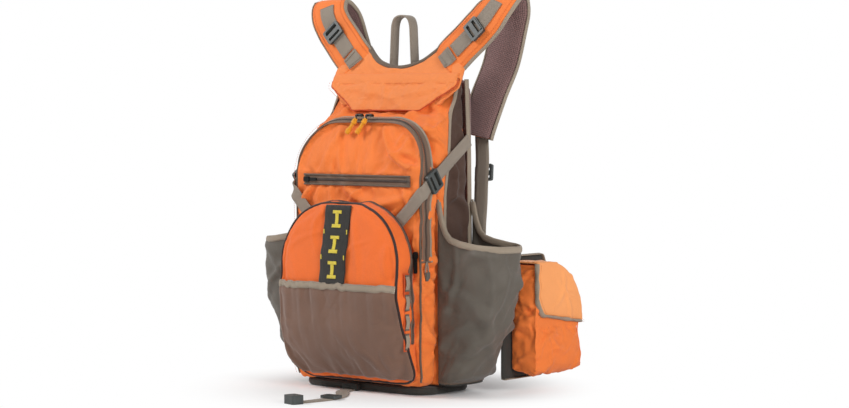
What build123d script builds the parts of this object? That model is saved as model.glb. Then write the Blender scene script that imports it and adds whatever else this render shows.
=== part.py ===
"""Upland hunting backpack: frame pack, front pockets, game bag, harness and hip belt.

Millimetres. X is to the viewer's right of the pack's face, -Y is the outer face, +Y is the
wearer's side and +Z is up. The origin lies on the underside of the base, on the centre line.
"""

import os
from math import hypot, radians, tan

from build123d import *

os.makedirs("parts", exist_ok=True)

# ---- driving dimensions -------------------------------------------------------------------
gap = 0.3  # air between soft neighbours

body_half_width = 128.0
body_top = 482.0
main_front = -30.0  # front of the main compartment
main_back = 50.0
side_seam_radius = 14.0

base_half_width = 125.0
base_front = -57.0
base_back = 68.0
base_thickness = 12.0
body_bottom = base_thickness + gap
base_corner = 32.0

front_pocket_half_width = 126.0
front_pocket_face = -67.0
front_pocket_bend = 330.0
front_pocket_top = 413.0
front_pocket_top_face = -45.0
front_pocket_arch = 75.0

lower_pocket_half_width = 116.0
lower_pocket_bottom = 16.0
lower_pocket_top = 288.0
lower_pocket_belly = -115.0  # furthest point forward, low on the pocket
lower_pocket_top_face = -105.0
lower_pocket_arch = 92.0
lower_pocket_foot = 46.0
stretch_top = 166.0
stretch_thickness = 3.5

webbing_thickness = 2.0
webbing_wide = 50.0
webbing_strap = 25.0
webbing_narrow = 20.0
tack_pitch = 38.0
tack_count = 3

yoke_half_width = 127.0
flap_bottom = 424.0
flap_bottom_half = 69.0
flap_length = 52.0
flap_chamfer = 38.0
flap_hinge_height = flap_bottom + flap_length
flap_corner_height = flap_bottom + flap_chamfer
flap_thickness = 4.0
main_shoulder = flap_bottom - 26  # where the main compartment starts to lean back
yoke_thickness = 6.0
yoke_top = flap_hinge_height + 29
neck_dip = 11.0
neck_height = yoke_top - neck_dip
neck_half_width = 46.0

strap_width = 63.0
strap_thickness = 12.0
lifter_start = 512.0
lifter_end = 566.0

frame_sheet_thickness = 2.5
back_panel_thickness = 11.0
back_panel_half_width = 120.0
back_pad_thickness = 8.0

game_bag_wall = 4.0
game_bag_reach = 240.0
game_bag_height = 222.0
game_bag_shoulder = 296.0  # where its rim meets the body
hip_axis_x = 184.0
hip_pad_thickness = 10.0
hip_pad_bottom = 20.0
hip_pad_top = 206.0
hip_pad_end = 182.0

pouch_depth = 48.0
pouch_bottom = 30.0
pouch_top = 196.0
pouch_rear = 70.0
pouch_front = 184.0
pouch_shoulder = 88.0
pouch_flap_thickness = 3.0
pouch_flap_lip = 108.0


def save(builder, name):
    builder.part.label = name
    export_step(builder.part, f"parts/{name}.step")


def save_pair(builder, name):
    """Write the right-hand piece and its mirror image."""
    save(builder, f"{name}_right")
    with BuildPart() as other:
        mirror(builder.part, about=Plane.YZ)
    save(other, f"{name}_left")


# ---- lean of the yoke: a line in the YZ plane up the face of the flap ------------------------
yoke_lean = 33 / 70
yoke_foot = (-1.0, flap_bottom)
yoke_head = (yoke_foot[0] + yoke_lean * (neck_height - flap_bottom), neck_height)
lean_length = hypot(yoke_head[0] - yoke_foot[0], yoke_head[1] - yoke_foot[1])
lean_up = ((yoke_head[0] - yoke_foot[0]) / lean_length, (yoke_head[1] - yoke_foot[1]) / lean_length)
lean_in = (lean_up[1], -lean_up[0])


def on_lean(height, depth):
    """Point (y, z) at a height on the flap's face, moved in from the face by a depth."""
    y = yoke_foot[0] + (height - yoke_foot[1]) * lean_up[0] / lean_up[1]
    return (y + depth * lean_in[0], height + depth * lean_in[1])


# ---- base ------------------------------------------------------------------------------------
with BuildPart() as base_panel:
    with BuildSketch():
        with Locations((0, (base_front + base_back) / 2)):
            RectangleRounded(2 * base_half_width, base_back - base_front, base_corner)
    extrude(amount=base_thickness)
    fillet(base_panel.faces().sort_by(Axis.Z)[0].edges(), radius=3)
save(base_panel, "base_panel")

# ---- main compartment ------------------------------------------------------------------------
main_depth_under_yoke = flap_thickness + yoke_thickness + 2 * gap
with BuildPart() as main_bag:
    with BuildSketch(Plane.YZ):
        with BuildLine():
            Polyline(
                (main_front, body_bottom),
                (main_front, main_shoulder),
                on_lean(flap_bottom, main_depth_under_yoke),
                on_lean(body_top, main_depth_under_yoke),
                (main_back, body_top),
                (main_back, body_bottom),
                close=True,
            )
        make_face()
    extrude(amount=body_half_width, both=True)
    fillet(main_bag.edges().filter_by(Axis.Z), radius=side_seam_radius)
save(main_bag, "main_bag")

# ---- front pocket, the arched one with the two-way zipper --------------------------------------
with BuildPart() as front_pocket:
    with BuildSketch(Plane.XZ) as arch:
        with Locations((0, (body_bottom + front_pocket_top) / 2)):
            Rectangle(2 * front_pocket_half_width, front_pocket_top - body_bottom)
        fillet(arch.vertices().group_by(Axis.Y)[-1], front_pocket_arch)
        fillet(arch.vertices().group_by(Axis.Y)[0], base_corner / 2)
    extrude(amount=-front_pocket_face)
    with BuildSketch(Plane.YZ):
        with BuildLine():
            Polyline(
                (front_pocket_face + 10, body_bottom),
                (front_pocket_face, body_bottom + 22),
                (front_pocket_face, front_pocket_bend),
                (front_pocket_top_face, front_pocket_top),
                (main_front - gap, front_pocket_top),
                (main_front - gap, body_bottom),
                close=True,
            )
        make_face()
    extrude(amount=body_half_width, both=True, mode=Mode.INTERSECT)
save(front_pocket, "front_pocket")

# ---- lower pocket and the stretch pocket over it -------------------------------------------------
pocket_back = front_pocket_face - gap
lower_profile = [
    (pocket_back, lower_pocket_bottom),
    (pocket_back - 8, lower_pocket_bottom + 2),
    (lower_pocket_belly + 16, 48),
    (lower_pocket_belly + 2, 100),
    (lower_pocket_belly, 150),
    (lower_pocket_top_face, lower_pocket_top - 5),
    (lower_pocket_top_face + 6, lower_pocket_top),
    (pocket_back, lower_pocket_top),
]
with BuildPart() as lower_pocket:
    with BuildSketch(Plane.XZ) as lower_arch:
        with Locations((0, (lower_pocket_bottom + lower_pocket_top) / 2)):
            Rectangle(2 * lower_pocket_half_width, lower_pocket_top - lower_pocket_bottom)
        fillet(lower_arch.vertices().group_by(Axis.Y)[-1], lower_pocket_arch)
        fillet(lower_arch.vertices().group_by(Axis.Y)[0], lower_pocket_foot)
    extrude(amount=-lower_pocket_belly + 10)
    with BuildSketch(Plane.YZ):
        with BuildLine():
            Polyline(*lower_profile, close=True)
        make_face()
    extrude(amount=lower_pocket_half_width, both=True, mode=Mode.INTERSECT)
save(lower_pocket, "lower_pocket")

with BuildPart() as stretch_pocket:
    with BuildSketch(Plane.XZ) as stretch_outline:
        with Locations((0, (lower_pocket_bottom + lower_pocket_top) / 2)):
            Rectangle(2 * lower_pocket_half_width - 2, lower_pocket_top - lower_pocket_bottom)
        fillet(stretch_outline.vertices().group_by(Axis.Y)[0], lower_pocket_foot)
    extrude(amount=-lower_pocket_belly + 10)
    with BuildSketch(Plane.YZ):
        with BuildLine():
            Polyline(*lower_profile, close=True)
        core = make_face()
        offset(amount=gap + stretch_thickness, kind=Kind.INTERSECTION)
        offset(core, amount=gap, kind=Kind.INTERSECTION, mode=Mode.SUBTRACT)
        with Locations((pocket_back - 60 - 9, (lower_pocket_bottom + stretch_top) / 2)):
            Rectangle(120, stretch_top - lower_pocket_bottom, mode=Mode.INTERSECT)
    extrude(amount=lower_pocket_half_width, both=True, mode=Mode.INTERSECT)
save(stretch_pocket, "stretch_pocket")

# ---- webbing ladder down the middle of the lower pocket --------------------------------------------
# The pocket's face is straight from the belly up to its top, so the webbing is a flat strip on it.
face_low = lower_profile[4]
face_high = lower_profile[5]
face_tilt = (face_high[0] - face_low[0]) / (face_high[1] - face_low[1])


def on_pocket_face(height, out):
    """Point (y, z) in front of the lower pocket's face at a height."""
    return (face_low[0] + (height - face_low[1]) * face_tilt - out, height)


def pocket_strip(width, low, high, near, far):
    """Flat strip on the pocket's face between two distances in front of it."""
    with BuildPart() as strip:
        with BuildSketch(Plane.YZ):
            with BuildLine():
                Polyline(
                    on_pocket_face(low, near),
                    on_pocket_face(high, near),
                    on_pocket_face(high, far),
                    on_pocket_face(low, far),
                    close=True,
                )
            make_face()
        extrude(amount=width / 2, both=True)
    return strip


daisy_low = stretch_top + 2
daisy_high = lower_pocket_top - 7
save(pocket_strip(webbing_wide, daisy_low, daisy_high, gap, gap + webbing_thickness), "daisy_webbing")

tack_length = 26.0
tack_bar_width = 15.0
tack_stem_width = 5.0
tack_bar = 5.0
tack_near = gap + webbing_thickness
tack_far = tack_near + 1.0
first_tack = daisy_low + 20
with BuildPart() as daisy_bar_tacks:
    for row in range(tack_count):
        middle = first_tack + row * tack_pitch
        low, high = middle - tack_length / 2, middle + tack_length / 2
        stem = pocket_strip(tack_stem_width, low, high, tack_near, tack_far)
        add(stem.part)
        for bar_low in (low, high - tack_bar):
            bar = pocket_strip(tack_bar_width, bar_low, bar_low + tack_bar, tack_near, tack_far)
            add(bar.part)
save(daisy_bar_tacks, "daisy_bar_tacks")

# ---- zippers ---------------------------------------------------------------------------------------
zipper_tape_width = 16.0
zipper_thickness = 1.6
slider_length = 11.0
slider_width = 8.0
slider_height = 4.0
chest_zipper_height = 321.0
chest_zipper_half = 106.0
tape_front = front_pocket_face - zipper_thickness
with BuildPart() as chest_zipper:
    with BuildSketch(Plane.XZ.offset(-front_pocket_face)):
        with Locations((0, chest_zipper_height)):
            Rectangle(2 * chest_zipper_half, zipper_tape_width)
    extrude(amount=zipper_thickness)
save(chest_zipper, "chest_zipper")

chest_slider_x = -chest_zipper_half + slider_length / 2 + 3
with BuildPart() as chest_slider:
    with BuildSketch(Plane.XZ.offset(-tape_front + gap)):
        with Locations((chest_slider_x, chest_zipper_height)):
            RectangleRounded(slider_length, slider_width, 2.5)
    extrude(amount=slider_height)
    with BuildSketch(Plane.XZ.offset(-tape_front + gap + 1)):
        with Locations((chest_slider_x + slider_length, chest_zipper_height)):
            RectangleRounded(18, 5, 2.2)
    extrude(amount=2)
save(chest_slider, "chest_slider")

arch_tape_front = front_pocket_face + 15
arch_tape_back = main_front - 4
arch_tape_floor = 200.0
arch_tape_thickness = 2.0
with BuildPart() as arch_zipper:
    with BuildSketch(Plane.XZ.offset(-arch_tape_back)) as band:
        for grow, kind in ((gap + arch_tape_thickness, Mode.ADD), (gap, Mode.SUBTRACT)):
            with BuildSketch(mode=Mode.PRIVATE) as layer:
                with Locations((0, front_pocket_top + grow - 150)):
                    Rectangle(2 * (front_pocket_half_width + grow), 300)
                fillet(layer.vertices().group_by(Axis.Y)[-1], front_pocket_arch + grow)
            add(layer.sketch, mode=kind)
        with Locations((0, arch_tape_floor + 200)):
            Rectangle(400, 400, mode=Mode.INTERSECT)
    extrude(amount=arch_tape_back - arch_tape_front)
save(arch_zipper, "arch_zipper")

arch_slider_rest = 10.0
arch_slider_floor = front_pocket_top + arch_tape_thickness + 2 * gap
pull_front = front_pocket_top_face - 8.5
for side, name in ((-1, "arch_slider_left"), (1, "arch_slider_right")):
    with BuildPart() as arch_slider:
        with BuildSketch(Plane.XY.offset(arch_slider_floor)):
            with Locations((side * arch_slider_rest, arch_tape_front + 4)):
                RectangleRounded(slider_length, slider_width, 2.5)
        extrude(amount=slider_height)
        with BuildSketch(Plane.XY.offset(arch_slider_floor + 1)):
            with Locations((side * arch_slider_rest, arch_tape_front - 1.5)):
                Rectangle(5, 8)
        extrude(amount=2)
        with BuildSketch(Plane.XZ.offset(-pull_front)):
            with Locations((side * (arch_slider_rest + 3), arch_slider_floor - 8)):
                SlotOverall(26, 9, rotation=90 - side * 12)
        extrude(amount=3)
    save(arch_slider, name)

lower_tape_front = front_pocket_face - 11
lower_tape_back = pocket_back - 1
lower_tape_low = 80.0
side_slider_height = 212.0
with BuildPart() as lower_zipper:
    with BuildSketch(Plane.XZ.offset(-lower_tape_back)) as lower_band:
        for grow, kind in ((gap + zipper_thickness, Mode.ADD), (gap, Mode.SUBTRACT)):
            with BuildSketch(mode=Mode.PRIVATE) as lower_layer:
                with Locations((0, lower_pocket_top + grow - 140)):
                    Rectangle(2 * (lower_pocket_half_width + grow), 280)
                fillet(lower_layer.vertices().group_by(Axis.Y)[-1], lower_pocket_arch + grow)
            add(lower_layer.sketch, mode=kind)
        with Locations((0, lower_tape_low + 200)):
            Rectangle(400, 400, mode=Mode.INTERSECT)
    extrude(amount=lower_tape_back - lower_tape_front)
save(lower_zipper, "lower_zipper")

lower_slider_x = lower_pocket_half_width + zipper_thickness + 2 * gap
with BuildPart() as lower_slider:
    with BuildSketch(Plane.YZ.offset(lower_slider_x)):
        with Locations(((lower_tape_front + lower_tape_back) / 2, side_slider_height)):
            RectangleRounded(slider_width, slider_length, 2.5)
    extrude(amount=slider_height)
    with BuildSketch(Plane.YZ.offset(lower_slider_x + 1)):
        with Locations(((lower_tape_front + lower_tape_back) / 2, side_slider_height - 15)):
            RectangleRounded(7, 24, 2.2)
    extrude(amount=2)
save(lower_slider, "lower_slider")

# ---- yoke and the flap that hangs from it --------------------------------------------------------------
def lean_corners(low, high, near, far):
    """Corners in the YZ plane between two heights and two depths behind the flap's face."""
    return [on_lean(low, near), on_lean(high, near), on_lean(high, far), on_lean(low, far)]


with BuildPart() as yoke_flap:
    with BuildSketch(Plane.YZ):
        with BuildLine():
            Polyline(*lean_corners(flap_bottom, flap_hinge_height - 1.5, 0, flap_thickness), close=True)
        make_face()
    extrude(amount=yoke_half_width, both=True)
    with BuildSketch(Plane.XZ.offset(-60)):
        with BuildLine():
            Polyline(
                (-flap_bottom_half, flap_bottom - 10),
                (flap_bottom_half, flap_bottom - 10),
                (flap_bottom_half, flap_bottom),
                (yoke_half_width, flap_corner_height),
                (yoke_half_width, flap_hinge_height + 10),
                (-yoke_half_width, flap_hinge_height + 10),
                (-yoke_half_width, flap_corner_height),
                (-flap_bottom_half, flap_bottom),
                close=True,
            )
        make_face()
    extrude(amount=120, mode=Mode.INTERSECT)
save(yoke_flap, "yoke_flap")

with BuildPart() as yoke:
    with BuildSketch(Plane.YZ):
        yoke_back = flap_thickness + yoke_thickness
        for corners in (
            lean_corners(flap_bottom + 12, yoke_top + 20, flap_thickness + gap, yoke_back),
            lean_corners(flap_hinge_height, yoke_top + 20, 0, flap_thickness + 1),
        ):
            with BuildLine():
                Polyline(*corners, close=True)
            make_face()
    extrude(amount=yoke_half_width, both=True)
    with BuildSketch(Plane.XZ.offset(-80)):
        with Locations((0, (flap_corner_height + yoke_top) / 2)):
            Rectangle(2 * yoke_half_width, yoke_top - flap_corner_height)
        with Locations((0, (flap_bottom + flap_corner_height) / 2)):
            Rectangle(2 * yoke_half_width - 50, flap_corner_height - flap_bottom)
        with BuildLine():
            neck = Polyline((-neck_half_width, yoke_top), (neck_half_width, yoke_top))
            ThreePointArc(neck @ 1, (0, neck_height), neck @ 0)
        make_face(mode=Mode.SUBTRACT)
    extrude(amount=160, mode=Mode.INTERSECT)
save(yoke, "yoke")

# ---- shoulder straps: a side path crossed with two front paths, one each side of the crest ---------------
strap_mid = (flap_thickness + yoke_thickness) / 2
strap_foot = on_lean(yoke_top + gap, strap_mid)
strap_rise = (58, 571)
crest_y = 77.0
strap_side = [strap_foot, strap_rise, (crest_y, 603), (104, 572), (107, 497), (96, 440), (86, 380)]
strap_side_radii = [30, 14, 24, 120, 150]
strap_front_run = [(84, 490), (94, 503), (131, 539), (166, 576), (176, 600)]
strap_chest_run = [(180, 606), (167, 572), (143, 497), (127, 450), (108, 372)]


def band_between(side_points, side_radii, thickness, front_points, width, y_from, y_to, low, high):
    """A bent strip: thick in the side view, wide in the front view, kept between two planes."""
    with BuildPart() as bent:
        with BuildSketch(Plane.YZ):
            with BuildLine() as side_line:
                FilletPolyline(*side_points, radius=side_radii)
            trace(side_line.line, line_width=thickness)
        extrude(amount=game_bag_reach)
        with BuildSketch(Plane.XZ.offset(-y_to)):
            with BuildLine() as front_line:
                Spline(*front_points)
            trace(front_line.line, line_width=width)
        extrude(amount=y_to - y_from, mode=Mode.INTERSECT)
        with BuildSketch(Plane.XY.offset(low)):
            Rectangle(1000, 1000)
        extrude(amount=high - low, mode=Mode.INTERSECT)
    return bent


with BuildPart() as shoulder_strap:
    front_run = band_between(
        strap_side, strap_side_radii, strap_thickness, strap_front_run, strap_width,
        0, crest_y, yoke_top + gap, 700,
    )
    chest_run = band_between(
        strap_side, strap_side_radii, strap_thickness, strap_chest_run, strap_width,
        crest_y, 160, 386, 700,
    )
    add(front_run.part)
    add(chest_run.part)
save_pair(shoulder_strap, "shoulder_strap")

# ---- load lifter webbing and ladder locks on the front of the straps --------------------------------------
lifter_out = strap_thickness / 2 + gap
lifter_tilt = (strap_rise[0] - strap_foot[0]) / (strap_rise[1] - strap_foot[1])
lifter_cos = 1 / hypot(1, lifter_tilt)


def on_strap_face(height, out):
    """Point (y, z) in front of the strap's straight front run."""
    return (strap_foot[0] + (height - strap_foot[1]) * lifter_tilt - out / lifter_cos, height)


front_run_slope = (131 - 94) / (539 - 503)


def strap_centre_x(height):
    """Middle of the strap's front run at a height."""
    return 94 + (height - 503) * front_run_slope


with BuildPart() as lifter_webbing:
    with BuildSketch(Plane.YZ):
        with BuildLine():
            Polyline(
                on_strap_face(lifter_start, lifter_out),
                on_strap_face(lifter_end, lifter_out),
                on_strap_face(lifter_end, lifter_out + webbing_thickness),
                on_strap_face(lifter_start, lifter_out + webbing_thickness),
                close=True,
            )
        make_face()
    extrude(amount=game_bag_reach)
    with BuildSketch(Plane.XZ.offset(-crest_y)):
        with BuildLine() as lifter_line:
            Line((strap_centre_x(yoke_top), yoke_top), (strap_centre_x(lifter_end + 5), lifter_end + 5))
        trace(lifter_line.line, line_width=webbing_strap)
    extrude(amount=crest_y, mode=Mode.INTERSECT)
save_pair(lifter_webbing, "lifter_webbing")

lock_length = 26.0
lock_width = 32.0
lock_thickness = 5.0
lock_bar = 4.0


def ladder_lock(plane):
    """Ladder-lock buckle: a frame with two slots and a raised front bar, lying on a plane."""
    with BuildPart() as lock:
        with BuildSketch(plane):
            RectangleRounded(lock_length, lock_width, 3)
            with Locations((-lock_length / 4, 0), (lock_length / 5, 0)):
                Rectangle(lock_bar + 1, lock_width - 2 * lock_bar, mode=Mode.SUBTRACT)
        extrude(amount=lock_thickness)
        with BuildSketch(plane.offset(lock_thickness - 1)):
            with Locations((lock_length / 2 - lock_bar / 2 - 1, 0)):
                Rectangle(lock_bar - 1, lock_width - 10)
        extrude(amount=2.5)
    return lock


lock_height = 549.0
lock_y, lock_z = on_strap_face(lock_height, lifter_out + webbing_thickness + gap)
lock_plane = Plane(
    origin=(strap_centre_x(lock_height), lock_y, lock_z),
    x_dir=(front_run_slope, lifter_tilt, 1),
    z_dir=(0, -1, lifter_tilt),
)
save_pair(ladder_lock(lock_plane), "lifter_lock")

# ---- lower strap webbing, from the strap's end to the side of the back, with its ladder lock ------------------
# It lies on the wearer's side of the strap's end, then runs down in front of the back's edge.
lower_web_side = [(102, 410), (92, 350), (75, 285), (main_back + 4 + gap + webbing_thickness / 2, 224)]
lower_web_front = [(110, 410), (140, 222)]
with BuildPart() as lower_strap_webbing:
    with BuildSketch(Plane.YZ):
        with BuildLine() as lower_side_line:
            FilletPolyline(*lower_web_side, radius=40)
        trace(lower_side_line.line, line_width=webbing_thickness)
    extrude(amount=game_bag_reach)
    with BuildSketch(Plane.XZ.offset(-160)):
        with BuildLine() as lower_front_line:
            Line(*lower_web_front)
        trace(lower_front_line.line, line_width=webbing_strap)
    extrude(amount=160, mode=Mode.INTERSECT)
save_pair(lower_strap_webbing, "lower_strap_webbing")

lower_lock_height = 331.0
lower_run_tilt = (92 - 75) / (350 - 285)
lower_run_lean = (lower_web_front[0][0] - lower_web_front[1][0]) / (
    lower_web_front[0][1] - lower_web_front[1][1]
)
lower_lock_out = (webbing_thickness / 2 + gap) * hypot(1, lower_run_tilt)
lower_lock_plane = Plane(
    origin=(
        lower_web_front[0][0] + (lower_lock_height - lower_web_front[0][1]) * lower_run_lean,
        75 + (lower_lock_height - 285) * lower_run_tilt + lower_lock_out,
        lower_lock_height,
    ),
    x_dir=(lower_run_lean, lower_run_tilt, 1),
    z_dir=(0, 1, -lower_run_tilt),
)
save_pair(ladder_lock(lower_lock_plane), "lower_strap_lock")

# ---- haul loop ---------------------------------------------------------------------------------------------------
haul_half_width = 18.0
haul_top = 574.0
haul_foot = body_top + gap
haul_x = -8.0
haul_y = 57.0
with BuildPart() as haul_loop:
    haul_plane = Plane(origin=(haul_x, haul_y + webbing_narrow / 2, 0), x_dir=(1, 0, 0), z_dir=(0, -1, 0))
    with BuildSketch(haul_plane):
        with BuildLine() as haul_line:
            left_leg = Line((-haul_half_width - 4, haul_foot), (-haul_half_width, haul_top - haul_half_width))
            crest = ThreePointArc(left_leg @ 1, (0, haul_top), (haul_half_width, haul_top - haul_half_width))
            Line(crest @ 1, (haul_half_width + 4, haul_foot))
        trace(haul_line.line, line_width=webbing_thickness)
    extrude(amount=webbing_narrow)
save(haul_loop, "haul_loop")

# ---- compression straps: a short run on the front pocket's face, then back and up along the side -------------------
compression_plane = body_half_width + gap
compression_low = (98.0, 270.0)
compression_corner_height = 304.0
compression_back = (46.0, 384.0)
compression_side_front = front_pocket_face - gap - webbing_thickness
compression_side_slope = (compression_back[1] - compression_corner_height) / (
    compression_back[0] - compression_side_front
)
with BuildPart() as compression_strap:
    with BuildSketch(Plane.XZ.offset(-front_pocket_face + gap)):
        with BuildLine():
            Polyline(
                (compression_low[0] - 6, compression_low[1] + 8),
                (compression_low[0] + 6, compression_low[1] - 6),
                (compression_plane + webbing_thickness, compression_corner_height - webbing_narrow / 2),
                (compression_plane + webbing_thickness, compression_corner_height + webbing_narrow / 2),
                close=True,
            )
        make_face()
    extrude(amount=webbing_thickness)
    with BuildSketch(Plane.YZ.offset(compression_plane)):
        with BuildLine():
            Polyline(
                (compression_side_front, compression_corner_height - webbing_narrow / 2),
                (compression_back[0], compression_back[1] - webbing_narrow / 2),
                (compression_back[0], compression_back[1] + webbing_narrow / 2),
                (compression_side_front, compression_corner_height + webbing_narrow / 2),
                close=True,
            )
        make_face()
    extrude(amount=webbing_thickness)
save_pair(compression_strap, "compression_strap")

compression_lock_y = -44.0
compression_lock_plane = Plane(
    origin=(
        compression_plane + webbing_thickness + gap,
        compression_lock_y,
        compression_corner_height + (compression_lock_y - compression_side_front) * compression_side_slope,
    ),
    x_dir=(0, 1, compression_side_slope),
    z_dir=(1, 0, 0),
)
save_pair(ladder_lock(compression_lock_plane), "compression_lock")

# ---- lash strips on the sides of the lower pocket ---------------------------------------------------------------------
lash_plane = lower_pocket_half_width + gap
lash_y = -90.0
lash_low = 70.0
lash_high = 186.0
lash_loops = 4
with BuildPart() as side_lash_strip:
    with BuildSketch(Plane.YZ.offset(lash_plane)):
        with Locations((lash_y, (lash_low + lash_high) / 2)):
            Rectangle(12, lash_high - lash_low)
    extrude(amount=1.2)
    loop_pitch = (lash_high - lash_low) / lash_loops
    with BuildSketch(Plane.YZ.offset(lash_plane + 1.2)):
        for row in range(lash_loops):
            with Locations((lash_y, lash_low + (row + 0.5) * loop_pitch)):
                RectangleRounded(8, loop_pitch * 0.55, 2)
    extrude(amount=1.5)
save_pair(side_lash_strip, "side_lash_strip")

# ---- frame sheet, stays, back panel and back pads -----------------------------------------------------------------------
sheet_front = main_back + gap
sheet_half_width = 108.0
with BuildPart() as frame_sheet:
    with BuildSketch(Plane.XZ.offset(-sheet_front)):
        with Locations((0, 250)):
            RectangleRounded(2 * sheet_half_width, 430, 30)
        with Locations((-54, 250), (54, 250)):
            SlotOverall(300, 30, rotation=90, mode=Mode.SUBTRACT)
    extrude(amount=-frame_sheet_thickness)
save(frame_sheet, "frame_sheet")

stay_front = sheet_front + frame_sheet_thickness + gap
stay_thickness = 3.0
with BuildPart() as frame_stays:
    with BuildSketch(Plane.XZ.offset(-stay_front)):
        with Locations((-22, 250), (22, 250)):
            RectangleRounded(16, 410, 7.9)
    extrude(amount=-stay_thickness)
save(frame_stays, "frame_stays")

panel_front = stay_front + stay_thickness + gap
panel_back = panel_front + back_panel_thickness
with BuildPart() as back_panel:
    with BuildSketch(Plane.XZ.offset(-panel_front)):
        with Locations((0, 250)):
            RectangleRounded(2 * back_panel_half_width, 460, 34)
    extrude(amount=-(panel_back - panel_front))
    fillet(back_panel.faces().sort_by(Axis.Y)[-1].edges(), radius=4)
save(back_panel, "back_panel")

pad_front = panel_back + gap
with BuildPart() as back_pads:
    with BuildSketch(Plane.XZ.offset(-pad_front)):
        with Locations((-58, 300), (58, 300)):
            RectangleRounded(64, 300, 24)
        with Locations((0, 84)):
            RectangleRounded(190, 90, 30)
    extrude(amount=-back_pad_thickness)
    fillet(back_pads.faces().sort_by(Axis.Y)[-1].edges(), radius=3)
    fillet(back_pads.faces().filter_by(Axis.Y).sort_by(Axis.Y)[-1].edges(), radius=2)
save(back_pads, "back_pads")

# ---- game bag: an open-topped pouch on each side, between the body and the hip belt ---------------------------------------
bag_inner = body_half_width + gap
bag_front_y = -30.0
bag_back_y = main_back + 4
bag_floor = 15.0


def game_bag_space(inset, top_extra):
    """Outer form of the pouch, or with an inset the space inside it."""
    with BuildPart() as space:
        with BuildSketch(Plane.XY.offset(bag_floor + inset)) as plan:
            with BuildLine():
                front = Line((bag_inner, bag_front_y), (190, bag_front_y - 4))
                outer = FilletPolyline(
                    front @ 1, (232, -22), (game_bag_reach, 30), (212, bag_back_y), radius=[26, 22]
                )
                Polyline(outer @ 1, (bag_inner, bag_back_y), front @ 0)
            make_face()
            if inset:
                offset(amount=-inset, kind=Kind.INTERSECTION)
        extrude(amount=300)
        with BuildSketch(Plane.XZ.offset(-100)) as front_view:
            with BuildLine():
                low = Polyline(
                    (bag_inner, bag_floor), (152, bag_floor), (182, 30), (205, 80), (226, 125), (250, 170)
                )
                right = Line(low @ 1, (250, game_bag_height + top_extra))
                rim = FilletPolyline(
                    right @ 1,
                    (152, game_bag_height + 12 + top_extra),
                    (bag_inner, game_bag_shoulder + top_extra),
                    radius=26,
                )
                Line(rim @ 1, low @ 0)
            make_face()
            if inset:
                offset(amount=-inset, kind=Kind.INTERSECTION)
        extrude(amount=200, mode=Mode.INTERSECT)
    return space


with BuildPart() as game_bag:
    add(game_bag_space(0, 0).part)
    add(game_bag_space(game_bag_wall, 30).part, mode=Mode.SUBTRACT)
save_pair(game_bag, "game_bag")

# ---- hip belt wing, on a vertical hinge line where it is sewn to the game bag -----------------------------------------------
hinge_radius = hip_pad_thickness / 2
hip_axis_y = bag_back_y + gap + hinge_radius
pad_inner = hip_axis_x - hinge_radius
pad_outer = hip_axis_x + hinge_radius
with BuildPart() as hip_wing:
    with BuildSketch(Plane.XY.offset(hip_pad_bottom)):
        with Locations((hip_axis_x, hip_axis_y)):
            Circle(hinge_radius)
        with Locations((hip_axis_x, (hip_axis_y + hip_pad_end) / 2)):
            Rectangle(hip_pad_thickness, hip_pad_end - hip_axis_y)
    extrude(amount=hip_pad_top - hip_pad_bottom)
    with BuildSketch(Plane.YZ.offset(160)):
        with BuildLine():
            Polyline(
                (50, hip_pad_bottom),
                (150, hip_pad_bottom),
                (hip_pad_end, 90),
                (hip_pad_end, 140),
                (155, hip_pad_top),
                (50, hip_pad_top),
                close=True,
            )
        make_face()
    extrude(amount=60, mode=Mode.INTERSECT)
save_pair(hip_wing, "hip_wing")

# ---- pouch on the wing, and its flap, hinged along the top inner edge ---------------------------------------------------------
pouch_inner = pad_outer + gap
pouch_outer = pouch_inner + pouch_depth


def pouch_block(grow):
    """The pouch's form, with its rounded front shoulder, grown by a clearance all round."""
    with BuildPart() as block:
        with BuildSketch(Plane.YZ.offset(pouch_inner)):
            with BuildLine():
                rear = Line((pouch_rear - grow, pouch_bottom), (pouch_rear - grow, pouch_top + grow))
                head = Line(rear @ 1, (pouch_front - pouch_shoulder, pouch_top + grow))
                bulge = 0.29 * pouch_shoulder - 0.7 * grow
                shoulder = ThreePointArc(
                    head @ 1,
                    (pouch_front - bulge, pouch_top - bulge),
                    (pouch_front + grow, pouch_top - pouch_shoulder),
                )
                Polyline(shoulder @ 1, (pouch_front + grow, pouch_bottom), rear @ 0)
            make_face()
        extrude(amount=pouch_depth + grow)
    return block


with BuildPart() as pouch:
    add(pouch_block(0).part)
    fillet(pouch.faces().sort_by(Axis.Z)[0].edges(), radius=8)
save_pair(pouch, "pouch")

flap_gap = 0.5
with BuildPart() as pouch_flap:
    add(pouch_block(flap_gap + pouch_flap_thickness).part)
    add(pouch_block(flap_gap).part, mode=Mode.SUBTRACT)
    with BuildSketch(Plane.YZ.offset(pouch_inner - 1)):
        with BuildLine():
            lip = Polyline((pouch_rear + 14, pouch_flap_lip + 10), (pouch_front + 20, pouch_flap_lip - 8))
            Polyline(
                lip @ 1,
                (pouch_front + 20, pouch_top + 20),
                (pouch_rear, pouch_top + 20),
                (pouch_rear, pouch_flap_lip + 30),
                lip @ 0,
            )
        make_face()
    extrude(amount=pouch_depth + 20, mode=Mode.INTERSECT)
save_pair(pouch_flap, "pouch_flap")

# ---- hip belt webbing and its side-release buckle, one half on each wing --------------------------------------------------------
belt_height = 112.0
belt_half = webbing_strap * 0.75
web_middle = pad_inner - gap - webbing_thickness / 2
belt_turn = (web_middle, 218)
belt_end = (148, 236)
with BuildPart() as hip_webbing:
    with BuildSketch(Plane.XY.offset(belt_height - belt_half)):
        with BuildLine() as belt_line:
            FilletPolyline((web_middle, 120), belt_turn, belt_end, radius=14)
        trace(belt_line.line, line_width=webbing_thickness)
    extrude(amount=2 * belt_half)
save_pair(hip_webbing, "hip_webbing")

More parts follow.
